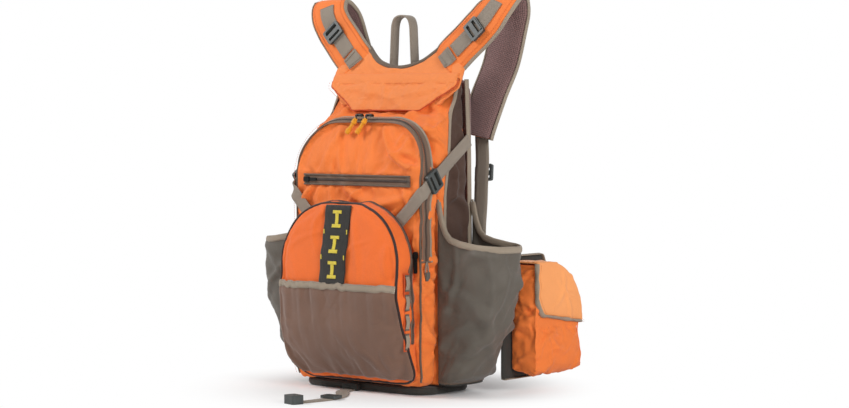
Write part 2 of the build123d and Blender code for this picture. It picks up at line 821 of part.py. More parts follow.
buckle_half_height = 21.0
buckle_thickness = 11.0
belt_run = (belt_end[0] - belt_turn[0], belt_end[1] - belt_turn[1])
buckle_plane = Plane(
    origin=(*belt_end, belt_height), x_dir=(*belt_run, 0), z_dir=(belt_run[1], -belt_run[0], 0)
)
with BuildPart() as buckle_socket_mirrored:
    with BuildSketch(buckle_plane.offset(-buckle_thickness / 2)):
        with Locations((18 + gap, 0)):
            RectangleRounded(36, 2 * buckle_half_height, 5)
    extrude(amount=buckle_thickness)
    mouth = buckle_plane.from_local_coords((36 + gap, 0, 0))
    with BuildSketch(Plane(origin=mouth, x_dir=(0, 0, 1), z_dir=(*belt_run, 0))):
        Rectangle(2 * buckle_half_height - 12, buckle_thickness - 4)
    extrude(amount=-22, mode=Mode.SUBTRACT)
with BuildPart() as buckle_socket:
    mirror(buckle_socket_mirrored.part, about=Plane.YZ)
save(buckle_socket, "buckle_socket")

with BuildPart() as buckle_plug:
    with BuildSketch(buckle_plane.offset(-buckle_thickness / 2)):
        with Locations((7 + gap, 0)):
            RectangleRounded(14, 2 * buckle_half_height, 3)
    extrude(amount=buckle_thickness)
    with BuildSketch(buckle_plane.offset(-2.5)):
        with Locations((24, 0)):
            Rectangle(22, 6)
        with Locations((24, 12), (24, -12)):
            Rectangle(22, 4)
        with Locations((32, 12.5), (32, -12.5)):
            Rectangle(6, 5)
    extrude(amount=5)
save(buckle_plug, "buckle_plug")

# ---- accessory strap at the foot of the pack: anchor, webbing on the ground, tri-glide and end --------------------------------------
tail_x = -14.0
tail_exit = (tail_x, base_front - 11.0)
with BuildPart() as tail_anchor:
    with BuildSketch(Plane.XY) as anchor_plan:
        with Locations((tail_x, base_front - 5.5 - gap)):
            Rectangle(30, 11 - 2 * gap)
    extrude(amount=11)
    with BuildSketch(Plane.XY):
        with Locations((tail_x, base_front - 6)):
            Rectangle(webbing_narrow + 2 * gap, 20)
    extrude(amount=webbing_thickness + 1, mode=Mode.SUBTRACT)
save(tail_anchor, "tail_anchor")

tail_steps = [(0, -4), (0, -29), (26, -55), (48, -89), (51, -129), (41, -169)]
tail_route = [(tail_x + step[0], base_front + step[1]) for step in tail_steps]


def cord_radii(route):
    """Largest arcs that the runs of a flat route allow."""
    radii = []
    for before, corner, after in zip(route, route[1:], route[2:]):
        run_in = Vector(*corner) - Vector(*before)
        run_out = Vector(*after) - Vector(*corner)
        turn = run_in.get_angle(run_out)
        radii.append(0.45 * min(run_in.length, run_out.length) / tan(radians(turn / 2)))
    return radii


tail_radii = cord_radii(tail_route)
with BuildPart() as tail_webbing:
    with BuildSketch(Plane.XY.offset(gap)):
        with BuildLine() as tail_line:
            FilletPolyline(*tail_route, radius=tail_radii)
        trace(tail_line.line, line_width=webbing_narrow)
    extrude(amount=webbing_thickness)
save(tail_webbing, "tail_webbing")
tail_length = sum(edge.length for edge in tail_line.edges())
tail_ratio = tail_webbing.part.volume / (webbing_narrow * webbing_thickness * tail_length)
print("tail arcs", [round(radius, 1) for radius in tail_radii])
print("tail length", round(tail_length, 1), "volume against section times length", round(tail_ratio, 3))

glide_place = (tail_x + 49.5, base_front - 109, webbing_thickness + 2 * gap)
glide_plane = Plane(origin=glide_place, x_dir=(3, -40, 0), z_dir=(0, 0, 1))
with BuildPart() as tail_triglide:
    with BuildSketch(glide_plane):
        RectangleRounded(20, webbing_narrow + 8, 3)
        with Locations((-4, 0), (4, 0)):
            Rectangle(4, webbing_narrow, mode=Mode.SUBTRACT)
    extrude(amount=4)
save(tail_triglide, "tail_triglide")

end_direction = (tail_route[-1][0] - tail_route[-2][0], tail_route[-1][1] - tail_route[-2][1])
end_plane = Plane(origin=(*tail_route[-1], 0), x_dir=(*end_direction, 0), z_dir=(0, 0, 1))
with BuildPart() as tail_end:
    with BuildSketch(end_plane):
        with Locations((10 + gap, 0)):
            RectangleRounded(20, 26, 4)
    extrude(amount=13)
save(tail_end, "tail_end")
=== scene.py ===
"""Looks for the hunting backpack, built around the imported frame. Metres, in the part's own frame."""
from math import cos, pi, radians, sin, sqrt

import bmesh
import bpy
import numpy as np
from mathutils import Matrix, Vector, noise
from mathutils.bvhtree import BVHTree


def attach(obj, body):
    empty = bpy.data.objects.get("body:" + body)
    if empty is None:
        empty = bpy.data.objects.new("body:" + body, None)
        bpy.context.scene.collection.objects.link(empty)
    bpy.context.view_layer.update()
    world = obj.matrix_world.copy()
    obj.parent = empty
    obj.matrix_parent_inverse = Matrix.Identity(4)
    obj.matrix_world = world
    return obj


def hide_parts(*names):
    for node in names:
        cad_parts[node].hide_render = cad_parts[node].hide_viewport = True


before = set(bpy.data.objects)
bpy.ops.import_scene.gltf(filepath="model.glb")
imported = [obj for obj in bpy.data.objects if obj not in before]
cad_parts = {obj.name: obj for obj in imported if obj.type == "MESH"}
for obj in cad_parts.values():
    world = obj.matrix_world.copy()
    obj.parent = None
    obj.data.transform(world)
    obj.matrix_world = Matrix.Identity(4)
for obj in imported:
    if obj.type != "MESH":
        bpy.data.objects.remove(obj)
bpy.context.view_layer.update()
scene = bpy.context.scene


# ---- camera, light and floor ---------------------------------------------------------------------
# A long lens looks from the front right, from a little above the pack's middle. Three soft area lamps
# and a pale room light it, and the matt white floor fades into white, so that only its shadow shows.
camera = bpy.data.objects.new("camera", bpy.data.cameras.new("camera"))
scene.collection.objects.link(camera)
scene.camera = camera
camera_place = Vector((2.2498, -2.6812, 0.433))
camera_target = Vector((0.0467, 0.0392, 0.2827))
camera.location = camera_place
camera.rotation_euler = (camera_target - camera_place).to_track_quat("-Z", "Y").to_euler()
camera.data.lens = 96.5
camera.data.sensor_width = 36

scene.view_settings.view_transform = "Standard"
world = bpy.data.worlds.new("studio")
scene.world = world
world.use_nodes = True
sky = world.node_tree
sky.nodes.clear()


def node(tree, kind, sockets=(), **settings):
    """Adds a node: settings are its properties, and each socket takes a value or another node's output."""
    made = tree.nodes.new(kind)
    for key, value in settings.items():
        setattr(made, key, value)
    for socket, value in dict(sockets).items():
        if isinstance(value, bpy.types.NodeSocket):
            tree.links.new(value, made.inputs[socket])
        else:
            made.inputs[socket].default_value = value
    return made


paths = node(sky, "ShaderNodeLightPath")
seen = node(sky, "ShaderNodeMath", {0: paths.outputs["Is Camera Ray"], 1: paths.outputs["Is Glossy Ray"]},
            operation="MAXIMUM")
room_light, white_behind = 0.34, 1.0
strength = node(sky, "ShaderNodeMapRange",
                {"Value": seen.outputs[0], "To Min": room_light, "To Max": white_behind})
glow = node(sky, "ShaderNodeBackground", {"Strength": strength.outputs[0], "Color": (1, 1, 1, 1)})
node(sky, "ShaderNodeOutputWorld", {"Surface": glow.outputs[0]})

for lamp_name, place, target, size, power in (
        ("key_light", (-1.7, -1.5, 2.1), (0, 0, 0.3), 0.8, 46),
        ("side_light", (2.7, -0.9, 1.2), (0, 0, 0.25), 1.0, 44),
        ("back_light", (-1.2, 2.2, 1.8), (0, 0, 0.3), 1.8, 16)):
    lamp = bpy.data.objects.new(lamp_name, bpy.data.lights.new(lamp_name, "AREA"))
    lamp.data.size = size
    lamp.data.energy = power
    lamp.location = place
    lamp.rotation_euler = (Vector(target) - Vector(place)).to_track_quat("-Z", "Y").to_euler()
    scene.collection.objects.link(lamp)

floor_mesh = bpy.data.meshes.new("floor")
floor_mesh.from_pydata([(-30, -30, 0), (30, -30, 0), (30, 30, 0), (-30, 30, 0)], [], [(0, 1, 2, 3)])
floor = bpy.data.objects.new("floor", floor_mesh)
scene.collection.objects.link(floor)
floor_paint = bpy.data.materials.new("floor")
floor_paint.use_nodes = True
tree = floor_paint.node_tree
tree.nodes.clear()
white = node(tree, "ShaderNodeBsdfPrincipled", {"Base Color": (0.95, 0.95, 0.95, 1), "Roughness": 0.9})
spot = node(tree, "ShaderNodeTexCoord")
far = node(tree, "ShaderNodeVectorMath", {0: spot.outputs["Object"]}, operation="LENGTH")
fade_start, fade_end = 0.12, 0.34
fade = node(tree, "ShaderNodeMapRange",
            {"Value": far.outputs["Value"], "From Min": fade_start, "From Max": fade_end},
            interpolation_type="SMOOTHSTEP")
blank = node(tree, "ShaderNodeEmission", {"Color": (1, 1, 1, 1)})
eye = node(tree, "ShaderNodeLightPath")
seen_far = node(tree, "ShaderNodeMath", {0: fade.outputs[0], 1: eye.outputs["Is Camera Ray"]},
                operation="MULTIPLY")
blend = node(tree, "ShaderNodeMixShader", {0: seen_far.outputs[0], 1: white.outputs[0], 2: blank.outputs[0]})
node(tree, "ShaderNodeOutputMaterial", {"Surface": blend.outputs[0]})
floor_mesh.materials.append(floor_paint)


# ---- ground strap --------------------------------------------------------------------------------
# A 20 mm strap of flat woven webbing, sewn to the anchor under the pack's foot and laid on the ground
# in one soft S to the moulded end block.
tail_route = [(-14, -61), (-14, -86), (12, -112), (34, -146), (37, -186), (27, -226)]
middle_height = 1.3
route = bpy.data.curves.new("tail_line", "CURVE")
route.dimensions = "3D"
route.resolution_u = 16
spline = route.splines.new("NURBS")
spline.points.add(len(tail_route) - 1)
MM = 0.001
for point, (x, y) in zip(spline.points, tail_route):
    point.co = (x * MM, y * MM, middle_height * MM, 1)
spline.order_u = 3
spline.use_endpoint_u = True
route_obj = bpy.data.objects.new("tail_line", route)
scene.collection.objects.link(route_obj)
line_mesh = bpy.data.meshes.new_from_object(route_obj.evaluated_get(bpy.context.evaluated_depsgraph_get()))


def points_of(mesh):
    flat = np.zeros(len(mesh.vertices) * 3)
    mesh.vertices.foreach_get("co", flat)
    return flat.reshape(-1, 3)


tail_path = points_of(line_mesh)
bpy.data.objects.remove(route_obj)
strap_thickness = 1.6


def tone(code):
    """Linear colour of an sRGB hex code."""
    parts = [int(code[i:i + 2], 16) / 255 for i in (0, 2, 4)]
    return tuple(c / 12.92 if c <= 0.04045 else ((c + 0.055) / 1.055) ** 2.4 for c in parts) + (1.0,)


def new_finish(name):
    """Empty node material."""
    material = bpy.data.materials.new(name)
    material.use_nodes = True
    material.node_tree.nodes.clear()
    return material, material.node_tree


def dye_ramp(tree, amount, code, low_at, high_at, less, more):
    """Colour ramp round a dye: less and more are the shares it darkens and lightens by."""
    ramp = node(tree, "ShaderNodeValToRGB", {"Fac": amount})
    base = tone(code)[:3]
    low, high = ramp.color_ramp.elements
    low.position, high.position = low_at, high_at
    low.color = tuple(c * (1 - less) for c in base) + (1,)
    high.color = tuple(min(1, c * (1 + more)) for c in base) + (1,)
    return ramp.outputs[0]


def cloth(name, code, pitch=0.9, weave=0.25, drift=0.10, rough=0.72, sheen=0.15, crease=0.25,
          pattern="plain"):
    """Woven or knitted fabric. pitch is the thread spacing in mm; 0.9 mm is the finest that still shows,
    so finer threads are drawn at that. weave and crease are the depths of threads and soft wrinkles,
    and drift is how far the dye varies."""
    material, tree = new_finish(name)
    place = node(tree, "ShaderNodeTexCoord")
    split = node(tree, "ShaderNodeSeparateXYZ", {0: place.outputs["UV"]})
    across, along = split.outputs[0], split.outputs[1]
    if pattern == "twill":
        across = node(tree, "ShaderNodeMath", {0: across, 1: along}, operation="ADD").outputs[0]
    if pattern == "herring":
        quarter = 0.00625
        fold = node(tree, "ShaderNodeMath", {0: across, 1: quarter}, operation="PINGPONG")
        across = node(tree, "ShaderNodeMath", {0: fold.outputs[0], 1: along}, operation="ADD").outputs[0]
    turns = 2 * pi / (pitch * MM)
    waves = []
    for source in (across, along):
        scaled = node(tree, "ShaderNodeMath", {0: source, 1: turns}, operation="MULTIPLY")
        waves.append(node(tree, "ShaderNodeMath", {0: scaled.outputs[0]}, operation="SINE").outputs[0])
    reach, thread_shade = 1.0, 0.86
    if pattern == "ribs":
        mix = waves[1]
    elif pattern == "mesh":
        mix = node(tree, "ShaderNodeMath", {0: waves[0], 1: waves[1]}, operation="ADD").outputs[0]
        reach, thread_shade = 2.0, 0.5
    else:
        mix = node(tree, "ShaderNodeMath", {0: waves[0], 1: waves[1]}, operation="MULTIPLY").outputs[0]
    threads = node(tree, "ShaderNodeMapRange", {"Value": mix, "From Min": -reach, "From Max": reach})
    cloud = node(tree, "ShaderNodeTexNoise",
                 {"Vector": place.outputs["Object"], "Scale": 14, "Detail": 6, "Roughness": 0.6})
    fine = node(tree, "ShaderNodeTexNoise", {"Vector": place.outputs["Object"], "Scale": 900, "Detail": 2})
    dye = dye_ramp(tree, cloud.outputs["Fac"], code, 0.32, 0.72, drift, drift)
    shade = node(tree, "ShaderNodeMapRange",
                 {"Value": threads.outputs[0], "To Min": thread_shade, "To Max": 1.05})
    fuzz = node(tree, "ShaderNodeMapRange", {"Value": fine.outputs["Fac"], "To Min": 0.9, "To Max": 1.1})
    worn = node(tree, "ShaderNodeMath", {0: shade.outputs[0], 1: fuzz.outputs[0]}, operation="MULTIPLY")
    colour = node(tree, "ShaderNodeVectorMath", {0: dye, "Scale": worn.outputs[0]}, operation="SCALE")
    wrinkle = node(tree, "ShaderNodeTexNoise",
                   {"Vector": place.outputs["Object"], "Scale": 26, "Detail": 4, "Distortion": 1.2})
    soft_folds = node(tree, "ShaderNodeBump",
                      {"Height": wrinkle.outputs["Fac"], "Strength": crease, "Distance": 0.004})
    bump = node(tree, "ShaderNodeBump", {"Height": threads.outputs[0], "Normal": soft_folds.outputs[0],
                                         "Strength": weave, "Distance": pitch * MM * 0.35})
    gloss = node(tree, "ShaderNodeMapRange",
                 {"Value": cloud.outputs["Fac"], "To Min": rough - 0.06, "To Max": min(1.0, rough + 0.08)})
    shader = node(tree, "ShaderNodeBsdfPrincipled",
                  {"Base Color": colour.outputs[0], "Roughness": gloss.outputs[0], "Normal": bump.outputs[0],
                   "Sheen Weight": sheen, "Sheen Roughness": 0.5, "Specular IOR Level": 0.3})
    node(tree, "ShaderNodeOutputMaterial", {"Surface": shader.outputs[0]})
    return material


# Grey-beige polyester webbing: herringbone rows along it, which show as a faint woven grain.
WEBBING = cloth("grey_webbing", "978a7c", pitch=2.2, weave=0.7, drift=0.08, pattern="herring", rough=0.75,
                crease=0.05)


def ways(line):
    """Direction of a line at each of its points."""
    run = np.gradient(line, axis=0)
    return run / np.maximum(np.linalg.norm(run, axis=1), 1e-9)[:, None]


def skin(name, rings, closed_ring, material, caps=False, close_line=False):
    """Mesh from rings of points, with UVs in metres along and round the rings."""
    rings = [np.array(r, float) for r in rings]
    n, m = len(rings), len(rings[0])
    verts = np.concatenate(rings)
    faces, uvs = [], []
    middles = [ring.mean(0) for ring in rings]
    along = np.concatenate([[0], np.cumsum([np.linalg.norm(b - a) for a, b in zip(middles, middles[1:])])])
    middle_ring = np.concatenate([rings[n // 2], rings[n // 2][:1]])
    round_ = np.concatenate([[0], np.cumsum(np.linalg.norm(np.diff(middle_ring, axis=0), axis=1))])
    spans = m if closed_ring else m - 1
    for i in range(n - 1 + (1 if close_line else 0)):
        for j in range(spans):
            here, after, beside = i * m, (i + 1) % n * m, (j + 1) % m
            faces.append((here + j, here + beside, after + beside, after + j))
            top = along[i + 1] if i + 1 < n else along[-1] + 0.003
            uvs += [(round_[j], along[i]), (round_[j + 1], along[i]), (round_[j + 1], top), (round_[j], top)]
    if caps:
        for ring in (range(m - 1, -1, -1), range((n - 1) * m, n * m)):
            faces.append(tuple(ring))
            uvs += [(0, 0)] * m
    mesh = bpy.data.meshes.new(name)
    mesh.from_pydata([tuple(v) for v in verts], [], faces)
    layer = mesh.uv_layers.new(name="weave")
    layer.data.foreach_set("uv", np.array(uvs).ravel())
    mesh.materials.append(material)
    mesh.update()
    obj = bpy.data.objects.new(name, mesh)
    scene.collection.objects.link(obj)
    if closed_ring and (caps or close_line):
        work = bmesh.new()
        work.from_mesh(mesh)
        bmesh.ops.recalc_face_normals(work, faces=work.faces)
        work.to_mesh(mesh)
        work.free()
    return obj


def ribbon(name, line, ups, width, thickness, material, crown=0.0, lift=0.0):
    """Flat strap or binding along a line: a closed strip with rounded edges, its face towards ups."""
    forward = ways(line)
    side = np.cross(forward, ups)
    side /= np.maximum(np.linalg.norm(side, axis=1), 1e-9)[:, None]
    up = np.cross(side, forward)
    half, t = width * MM / 2, thickness * MM
    profile = [(-1, 0.0), (-1, 0.7), (-0.93, 1.0), (-0.4, 1.0 + crown), (0, 1.0 + crown * 1.3),
               (0.4, 1.0 + crown), (0.93, 1.0), (1, 0.7), (1, 0.0), (0.5, -0.05), (-0.5, -0.05)]
    rings = []
    for p, s, u in zip(line, side, up):
        rings.append([p + s * half * a + u * (t * b + lift * MM) for a, b in profile])
    return skin(name, rings, True, material, caps=True)


def facing(line, up):
    """One direction for every point of a line."""
    return np.tile(up, (len(line), 1))


tail = ribbon("ground_strap", tail_path - np.array((0, 0, strap_thickness / 2 * MM)),
              facing(tail_path, (0.0, 0.0, 1.0)), 20, strap_thickness, WEBBING)


def finish_piece(obj, body, slot, *nodes):
    """Smooth shading, then the piece rides on its body and stands for its CAD nodes."""
    for polygon in obj.data.polygons:
        polygon.use_smooth = True
    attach(obj, body)
    if nodes:
        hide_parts(*nodes)
    return obj


finish_piece(tail, "pack", "grey_webbing", "tail_webbing")


# ---- main compartment ----------------------------------------------------------------------------
# The big bag: orange nylon in front and darker fabric behind the side seams, sewn inside out. Both side
# seams and both rear edges are bound with grosgrain tape. What it carries bulges its walls a little.
side_seam = [(-128, -12, 40), (-128, -12, 300), (-127, -7, 330), (-121, 12, 430), (-119, 20, 474)]

narrow_from, narrow_run, narrow_share = 0.33, 0.11, 0.06

both_seams = [[(s * x * MM, y * MM, z * MM) for x, y, z in side_seam] for s in (1, -1)]
# Plain-woven orange nylon. Its 0.3 mm threads are too fine to show and are drawn at 0.9 mm. To the eye
# it is satiny and half-matt, with soft handling wrinkles.
ORANGE = cloth("orange_nylon", "f37f38", pitch=0.9, drift=0.07, sheen=0.1, crease=0.45)


def wrap(mesh):
    """UVs in metres, projected along each face's main direction, for weaves at true scale."""
    layer = mesh.uv_layers.get("weave") or mesh.uv_layers.new(name="weave")
    count = len(mesh.loops)
    corners = np.zeros(count, int)
    mesh.loops.foreach_get("vertex_index", corners)
    place = np.zeros(len(mesh.vertices) * 3)
    mesh.vertices.foreach_get("co", place)
    place = place.reshape(-1, 3)
    normals = np.zeros(len(mesh.polygons) * 3)
    mesh.polygons.foreach_get("normal", normals)
    normals = np.abs(normals.reshape(-1, 3))
    totals = np.zeros(len(mesh.polygons), int)
    mesh.polygons.foreach_get("loop_total", totals)
    main = np.repeat(normals.argmax(1), totals)
    spot = place[corners]
    level_or_front = np.where((main == 1)[:, None], spot[:, [0, 2]], spot[:, [0, 1]])
    uv = np.where((main == 0)[:, None], spot[:, [1, 2]], level_or_front)
    layer.data.foreach_set("uv", uv.ravel())


def settle(obj):
    """Replaces an object's mesh by its modified one and clears its modifiers."""
    graph = bpy.context.evaluated_depsgraph_get()
    done = bpy.data.meshes.new_from_object(obj.evaluated_get(graph))
    obj.modifiers.clear()
    obj.data = done
    return obj


def put_points(mesh, places):
    mesh.vertices.foreach_set("co", places.ravel())
    mesh.update()


def near_line(places, line):
    """Distance of each point from a polyline."""
    best = np.full(len(places), 1e9)
    line = np.array(line, float)
    for a, b in zip(line[:-1], line[1:]):
        run = b - a
        t = np.clip(((places - a) @ run) / max(run @ run, 1e-12), 0, 1)
        best = np.minimum(best, np.linalg.norm(places - a - t[:, None] * run, axis=1))
    return best


def creases(places, normals, size, scale, stretch=(1, 1, 1), seed=0.0):
    """Ridged noise that pushes points along their normals, in metres."""
    moved = places.copy()
    for i, (p, n) in enumerate(zip(places, normals)):
        q = Vector((p[0] * stretch[0] * scale + seed, p[1] * stretch[1] * scale, p[2] * stretch[2] * scale))
        ridge = 1 - abs(noise.noise(q)) * 2.2
        soft = noise.noise(q * 0.45 + Vector((7, 3, 5)))
        moved[i] += n * size * (0.55 * ridge * ridge - 0.3 + 0.7 * soft)
    return moved


def normals_of(mesh):
    flat = np.zeros(len(mesh.vertices) * 3)
    mesh.vertices.foreach_get("normal", flat)
    return flat.reshape(-1, 3)


def rumple(places, normals, count, height, width, length, slant, spread, seed, calm=1.0):
    """Presses count soft creases into cloth, each a short ridge with a furrow on both sides. Sizes are in
    mm, and slant and spread in degrees from level."""
    pick = np.random.default_rng(seed)
    moved = places.copy()
    for _ in range(count):
        i = int(pick.integers(len(places)))
        n = normals[i]
        level = np.cross((0, 0, 1.0), n)
        if np.linalg.norm(level) < 0.3:
            level = np.array((1.0, 0, 0))
        level /= np.linalg.norm(level)
        angle = radians(slant + spread * pick.uniform(-1, 1)) * (1 if pick.random() < 0.65 else -1)
        t = level * cos(angle) + np.cross(n, level) * sin(angle)
        b = np.cross(n, t)
        w = width * MM * pick.uniform(0.7, 1.4)
        reach = length * MM * pick.uniform(0.6, 1.5)
        h = height * MM * pick.uniform(0.5, 1.2)
        rel = places - places[i]
        s = rel @ t
        bend = pick.uniform(-0.12, 0.12) / max(length * MM, 0.01)
        d = rel @ b - bend * s * s * 8
        alike = np.clip((normals @ n - 0.3) / 0.4, 0, 1)
        q = (d / w) ** 2
        push = h * (1 - q) * np.exp(-q) * np.exp(-(s / reach) ** 4) * alike * calm
        moved += normals * push[:, None]
    return moved


def puff(source, name, material, voxel, pressure, cap, still=None, seams=(), shape=None, inset=0.0,
         slack=0.03, fold=0.4, fold_scale=30, stretch=(1, 1, 1), seed=0.0, folds=None, flat=()):
    """Soft piece from a solid: remeshed at voxel mm, blown up by a cloth simulation held at its seams and
    moved cap mm at most, then creased. fold is the depth in mm of its fine ridges, folds its long
    creases, and flat holds lines that stay smooth."""
    solid_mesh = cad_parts[source].data.copy() if isinstance(source, str) else source
    obj = bpy.data.objects.new(name, solid_mesh)
    scene.collection.objects.link(obj)
    remesh = obj.modifiers.new("remesh", "REMESH")
    remesh.mode = "VOXEL"
    remesh.voxel_size = voxel * MM
    settle(obj)
    smooth = obj.modifiers.new("smooth", "SMOOTH")
    smooth.factor = 0.5
    smooth.iterations = 3
    settle(obj)
    mesh = obj.data
    places = points_of(mesh)
    if inset:
        places = places - normals_of(mesh) * inset * MM
    if shape:
        places = shape(places)
    put_points(mesh, places)
    held = np.zeros(len(places), bool)
    if still is not None:
        held |= still(places)
    for line in seams:
        held |= near_line(places, line) < voxel * MM * 1.1
    if pressure:
        group = obj.vertex_groups.new(name="held")
        group.add([int(i) for i in np.nonzero(held)[0]], 1.0, "REPLACE")
        cloth_sim = obj.modifiers.new("cloth", "CLOTH")
        rules = cloth_sim.settings
        rules.quality = 3
        rules.mass = 0.3
        rules.tension_stiffness = 15
        rules.compression_stiffness = 15
        rules.bending_stiffness = 0.6
        rules.use_pressure = True
        rules.uniform_pressure_force = pressure
        rules.shrink_min = -slack
        rules.vertex_group_mass = "held"
        rules.effector_weights.gravity = 0
        cloth_sim.collision_settings.use_collision = False
        cloth_sim.point_cache.frame_start = 1
        last_step = 14
        cloth_sim.point_cache.frame_end = last_step
        for step in range(1, last_step + 1):
            scene.frame_set(step)
        graph = bpy.context.evaluated_depsgraph_get()
        blown = points_of(obj.evaluated_get(graph).to_mesh())
        obj.modifiers.clear()
        scene.frame_set(1)
        shift = blown - places
        length = np.linalg.norm(shift, axis=1)
        limit = cap * MM
        scale = np.where(length > 1e-9, limit * np.tanh(length / limit) / np.maximum(length, 1e-9), 0)
        places = places + shift * scale[:, None]
        put_points(mesh, places)
    obj.modifiers.new("finer", "SUBSURF").levels = 1
    settle(obj)
    mesh = obj.data
    places = points_of(mesh)
    calm = np.ones(len(places))
    seam_calm = 18 * MM
    for line in list(seams) + list(flat):
        calm *= np.clip(near_line(places, line) / seam_calm, 0, 1)
    if still is not None:
        calm *= ~still(places)
    moved = creases(places, normals_of(mesh), fold * MM, fold_scale, stretch, seed)
    places = places + (moved - places) * calm[:, None]
    if folds:
        places = rumple(places, normals_of(mesh), calm=calm, **folds)
    put_points(mesh, places)
    wrap(mesh)
    mesh.materials.clear()
    mesh.materials.append(material)
    return obj


def narrow_top(places):
    """The body draws in above the chest, towards the yoke."""
    t = np.clip((places[:, 2] - narrow_from) / narrow_run, 0, 1)
    made = places.copy()
    made[:, 0] *= 1 - narrow_share * t * t * (3 - 2 * t)
    return made


main_body = puff("main_bag", "main_body", ORANGE, voxel=5.0, pressure=2.5, cap=4,
                 still=lambda p: (p[:, 1] > 0.047) | (p[:, 2] < 0.016) | (p[:, 2] > 0.476),
                 seams=both_seams, shape=narrow_top, inset=1.0, fold=1.4, fold_scale=22, stretch=(1, 1, 0.7),
                 seed=2.1,
                 folds=dict(count=90, height=5.0, width=10, length=55, slant=55, spread=25, seed=11))
# Dark brown woven fabric of the gussets: matt, and coarser than the front nylon.
DARK_SIDE = cloth("dark_side_fabric", "4a3328", pitch=1.2, drift=0.12)


def second_face(obj, material, where):
    """Gives the polygons that where picks a second material."""
    obj.data.materials.append(material)
    for polygon in obj.data.polygons:
        if where(polygon):
            polygon.material_index = 1


def seam_depth(z):
    """How far back the side seam lies at a height, in metres."""
    return np.interp(z, [p[2] * MM for p in side_seam], [p[1] * MM for p in side_seam])


def on_gusset(polygon):
    """Whether a polygon lies behind the side seam, on the pack's side."""
    middle = polygon.center
    half_width = 0.128 - 0.0077 * min(1.0, max(0.0, (middle.z - narrow_from) / narrow_run))
    return middle.y > seam_depth(middle.z) and abs(middle.x) > half_width - 0.006


second_face(main_body, DARK_SIDE, on_gusset)
finish_piece(main_body, "pack", "orange_fabric", "main_bag")


def tree_of(obj):
    return BVHTree.FromPolygons([v.co for v in obj.data.vertices], [p.vertices for p in obj.data.polygons])


main_tree = tree_of(main_body)
# Light grosgrain tape: fine cross ribs, which give the seams a pale, crisp outline.
BINDING = cloth("grosgrain_binding", "a0917f", pitch=1.3, weave=0.6, drift=0.08, pattern="ribs", crease=0.1)


def resample(line, step):
    """Evenly spaced points on a polyline."""
    line = np.array(line, float)
    runs = np.linalg.norm(np.diff(line, axis=0), axis=1)
    total = np.concatenate([[0], np.cumsum(runs)])
    count = max(2, int(round(total[-1] / step)) + 1)
    return np.stack([np.interp(np.linspace(0, total[-1], count), total, line[:, i]) for i in range(3)], 1)


def even_out(values, times):
    """Smooths what runs along a line, its ends kept."""
    for _ in range(times):
        values[1:-1] = (values[:-2] + 2 * values[1:-1] + values[2:]) / 4


def on_cloth(line, tree, lift=0.0, towards=None):
    """Points of a line laid on a surface, with its normals: nearest, or hit along a direction."""
    places, ups = [], []
    for p in line:
        p = Vector(p)
        if towards is not None:
            way = Vector(towards)
            hit, normal, _, _ = tree.ray_cast(p - way * 0.3, way)
        if towards is None or hit is None:
            hit, normal, _, _ = tree.find_nearest(p)
        places.append(hit + normal * lift)
        ups.append(normal)
    places, ups = np.array(places), np.array(ups)
    even_out(ups, 3)
    if len(places) > 12:
        even_out(places, 3)
    return places, ups / np.linalg.norm(ups, axis=1)[:, None]


def bar(name, points, up, width, thickness, material, step, **more):
    """Ribbon between points in metres, all of it facing up."""
    line = resample(points, step)
    return ribbon(name, line, facing(line, up), width, thickness, material, **more)


SIDES = ((1, "right"), (-1, "left"))
for side, label in SIDES:
    seam_line = resample([(side * -x * MM, y * MM, z * MM) for x, y, z in side_seam], 0.004)
    seam_line, seam_ups = on_cloth(seam_line, main_tree, 0.0002)
    strip = ribbon("side_binding_" + label, seam_line, seam_ups, width=5.5, thickness=1.2, material=BINDING,
                   crown=0.25)
    finish_piece(strip, "pack", "grey_webbing")
    edge = [(117, 0.052, 0.052), (124, 0.053, 0.20), (122, 0.053, 0.36), (118, 0.052, 0.474)]
    strip = bar("back_edge_binding_" + label, [(side * x * MM, y, z) for x, y, z in edge], (side, -0.2, 0.0),
                width=8, thickness=1.6, material=BINDING, step=0.004, crown=0.3)
    finish_piece(strip, "pack", "grey_webbing")


# ---- arched front pocket -------------------------------------------------------------------------
# A panel of the same nylon on a narrow gusset, piped round its face and quilted by what it holds. Its
# two-way zipper runs over the arch in that gusset, with a bound welt behind it, and the chest zipper
# crosses the face between two welts, a stop at each end.
bend_z, lean_run, lean_back = 0.33, 0.083, 0.022


def arch(half, top, radius, low, y):
    """Points up one side of an arched pocket, over its top and down the other side."""
    left = [(-half, y, low)] + [(-half + radius - radius * cos(a), y, top - radius + radius * sin(a))
                                for a in np.linspace(0, pi / 2, 24)]
    right = [(-x, y, z) for x, y, z in reversed(left)]
    return resample(np.array(left + right) * MM, 0.003)


def lean_top(line):
    """Follows the front pocket's face, which leans back above its bend."""
    made = np.array(line)
    made[:, 1] += np.clip((made[:, 2] - bend_z) / lean_run, 0, 1) * lean_back
    return made


face_line = lean_top(arch(half=126, top=413, radius=75, low=14, y=-67))
chest_line = resample(np.array([(-106, -67, 321), (106, -67, 321)]) * MM, 0.003)
arch_run = arch(half=126, top=413, radius=75, low=200, y=-43)
bend_forward, below_bend, bend_run = 0.011, 0.405, 0.05
arch_run[:, 1] -= bend_forward * np.clip((below_bend - arch_run[:, 2]) / bend_run, 0, 1)


def behind_face(p):
    """Where the front pocket is held: its gusset's rear, its foot, and the wall behind the lower pocket."""
    behind_pocket = (p[:, 2] < 0.27) & (p[:, 1] < -0.060) & (abs(p[:, 0]) < 0.11)
    return (p[:, 1] > -0.034) | (p[:, 2] < 0.016) | behind_pocket


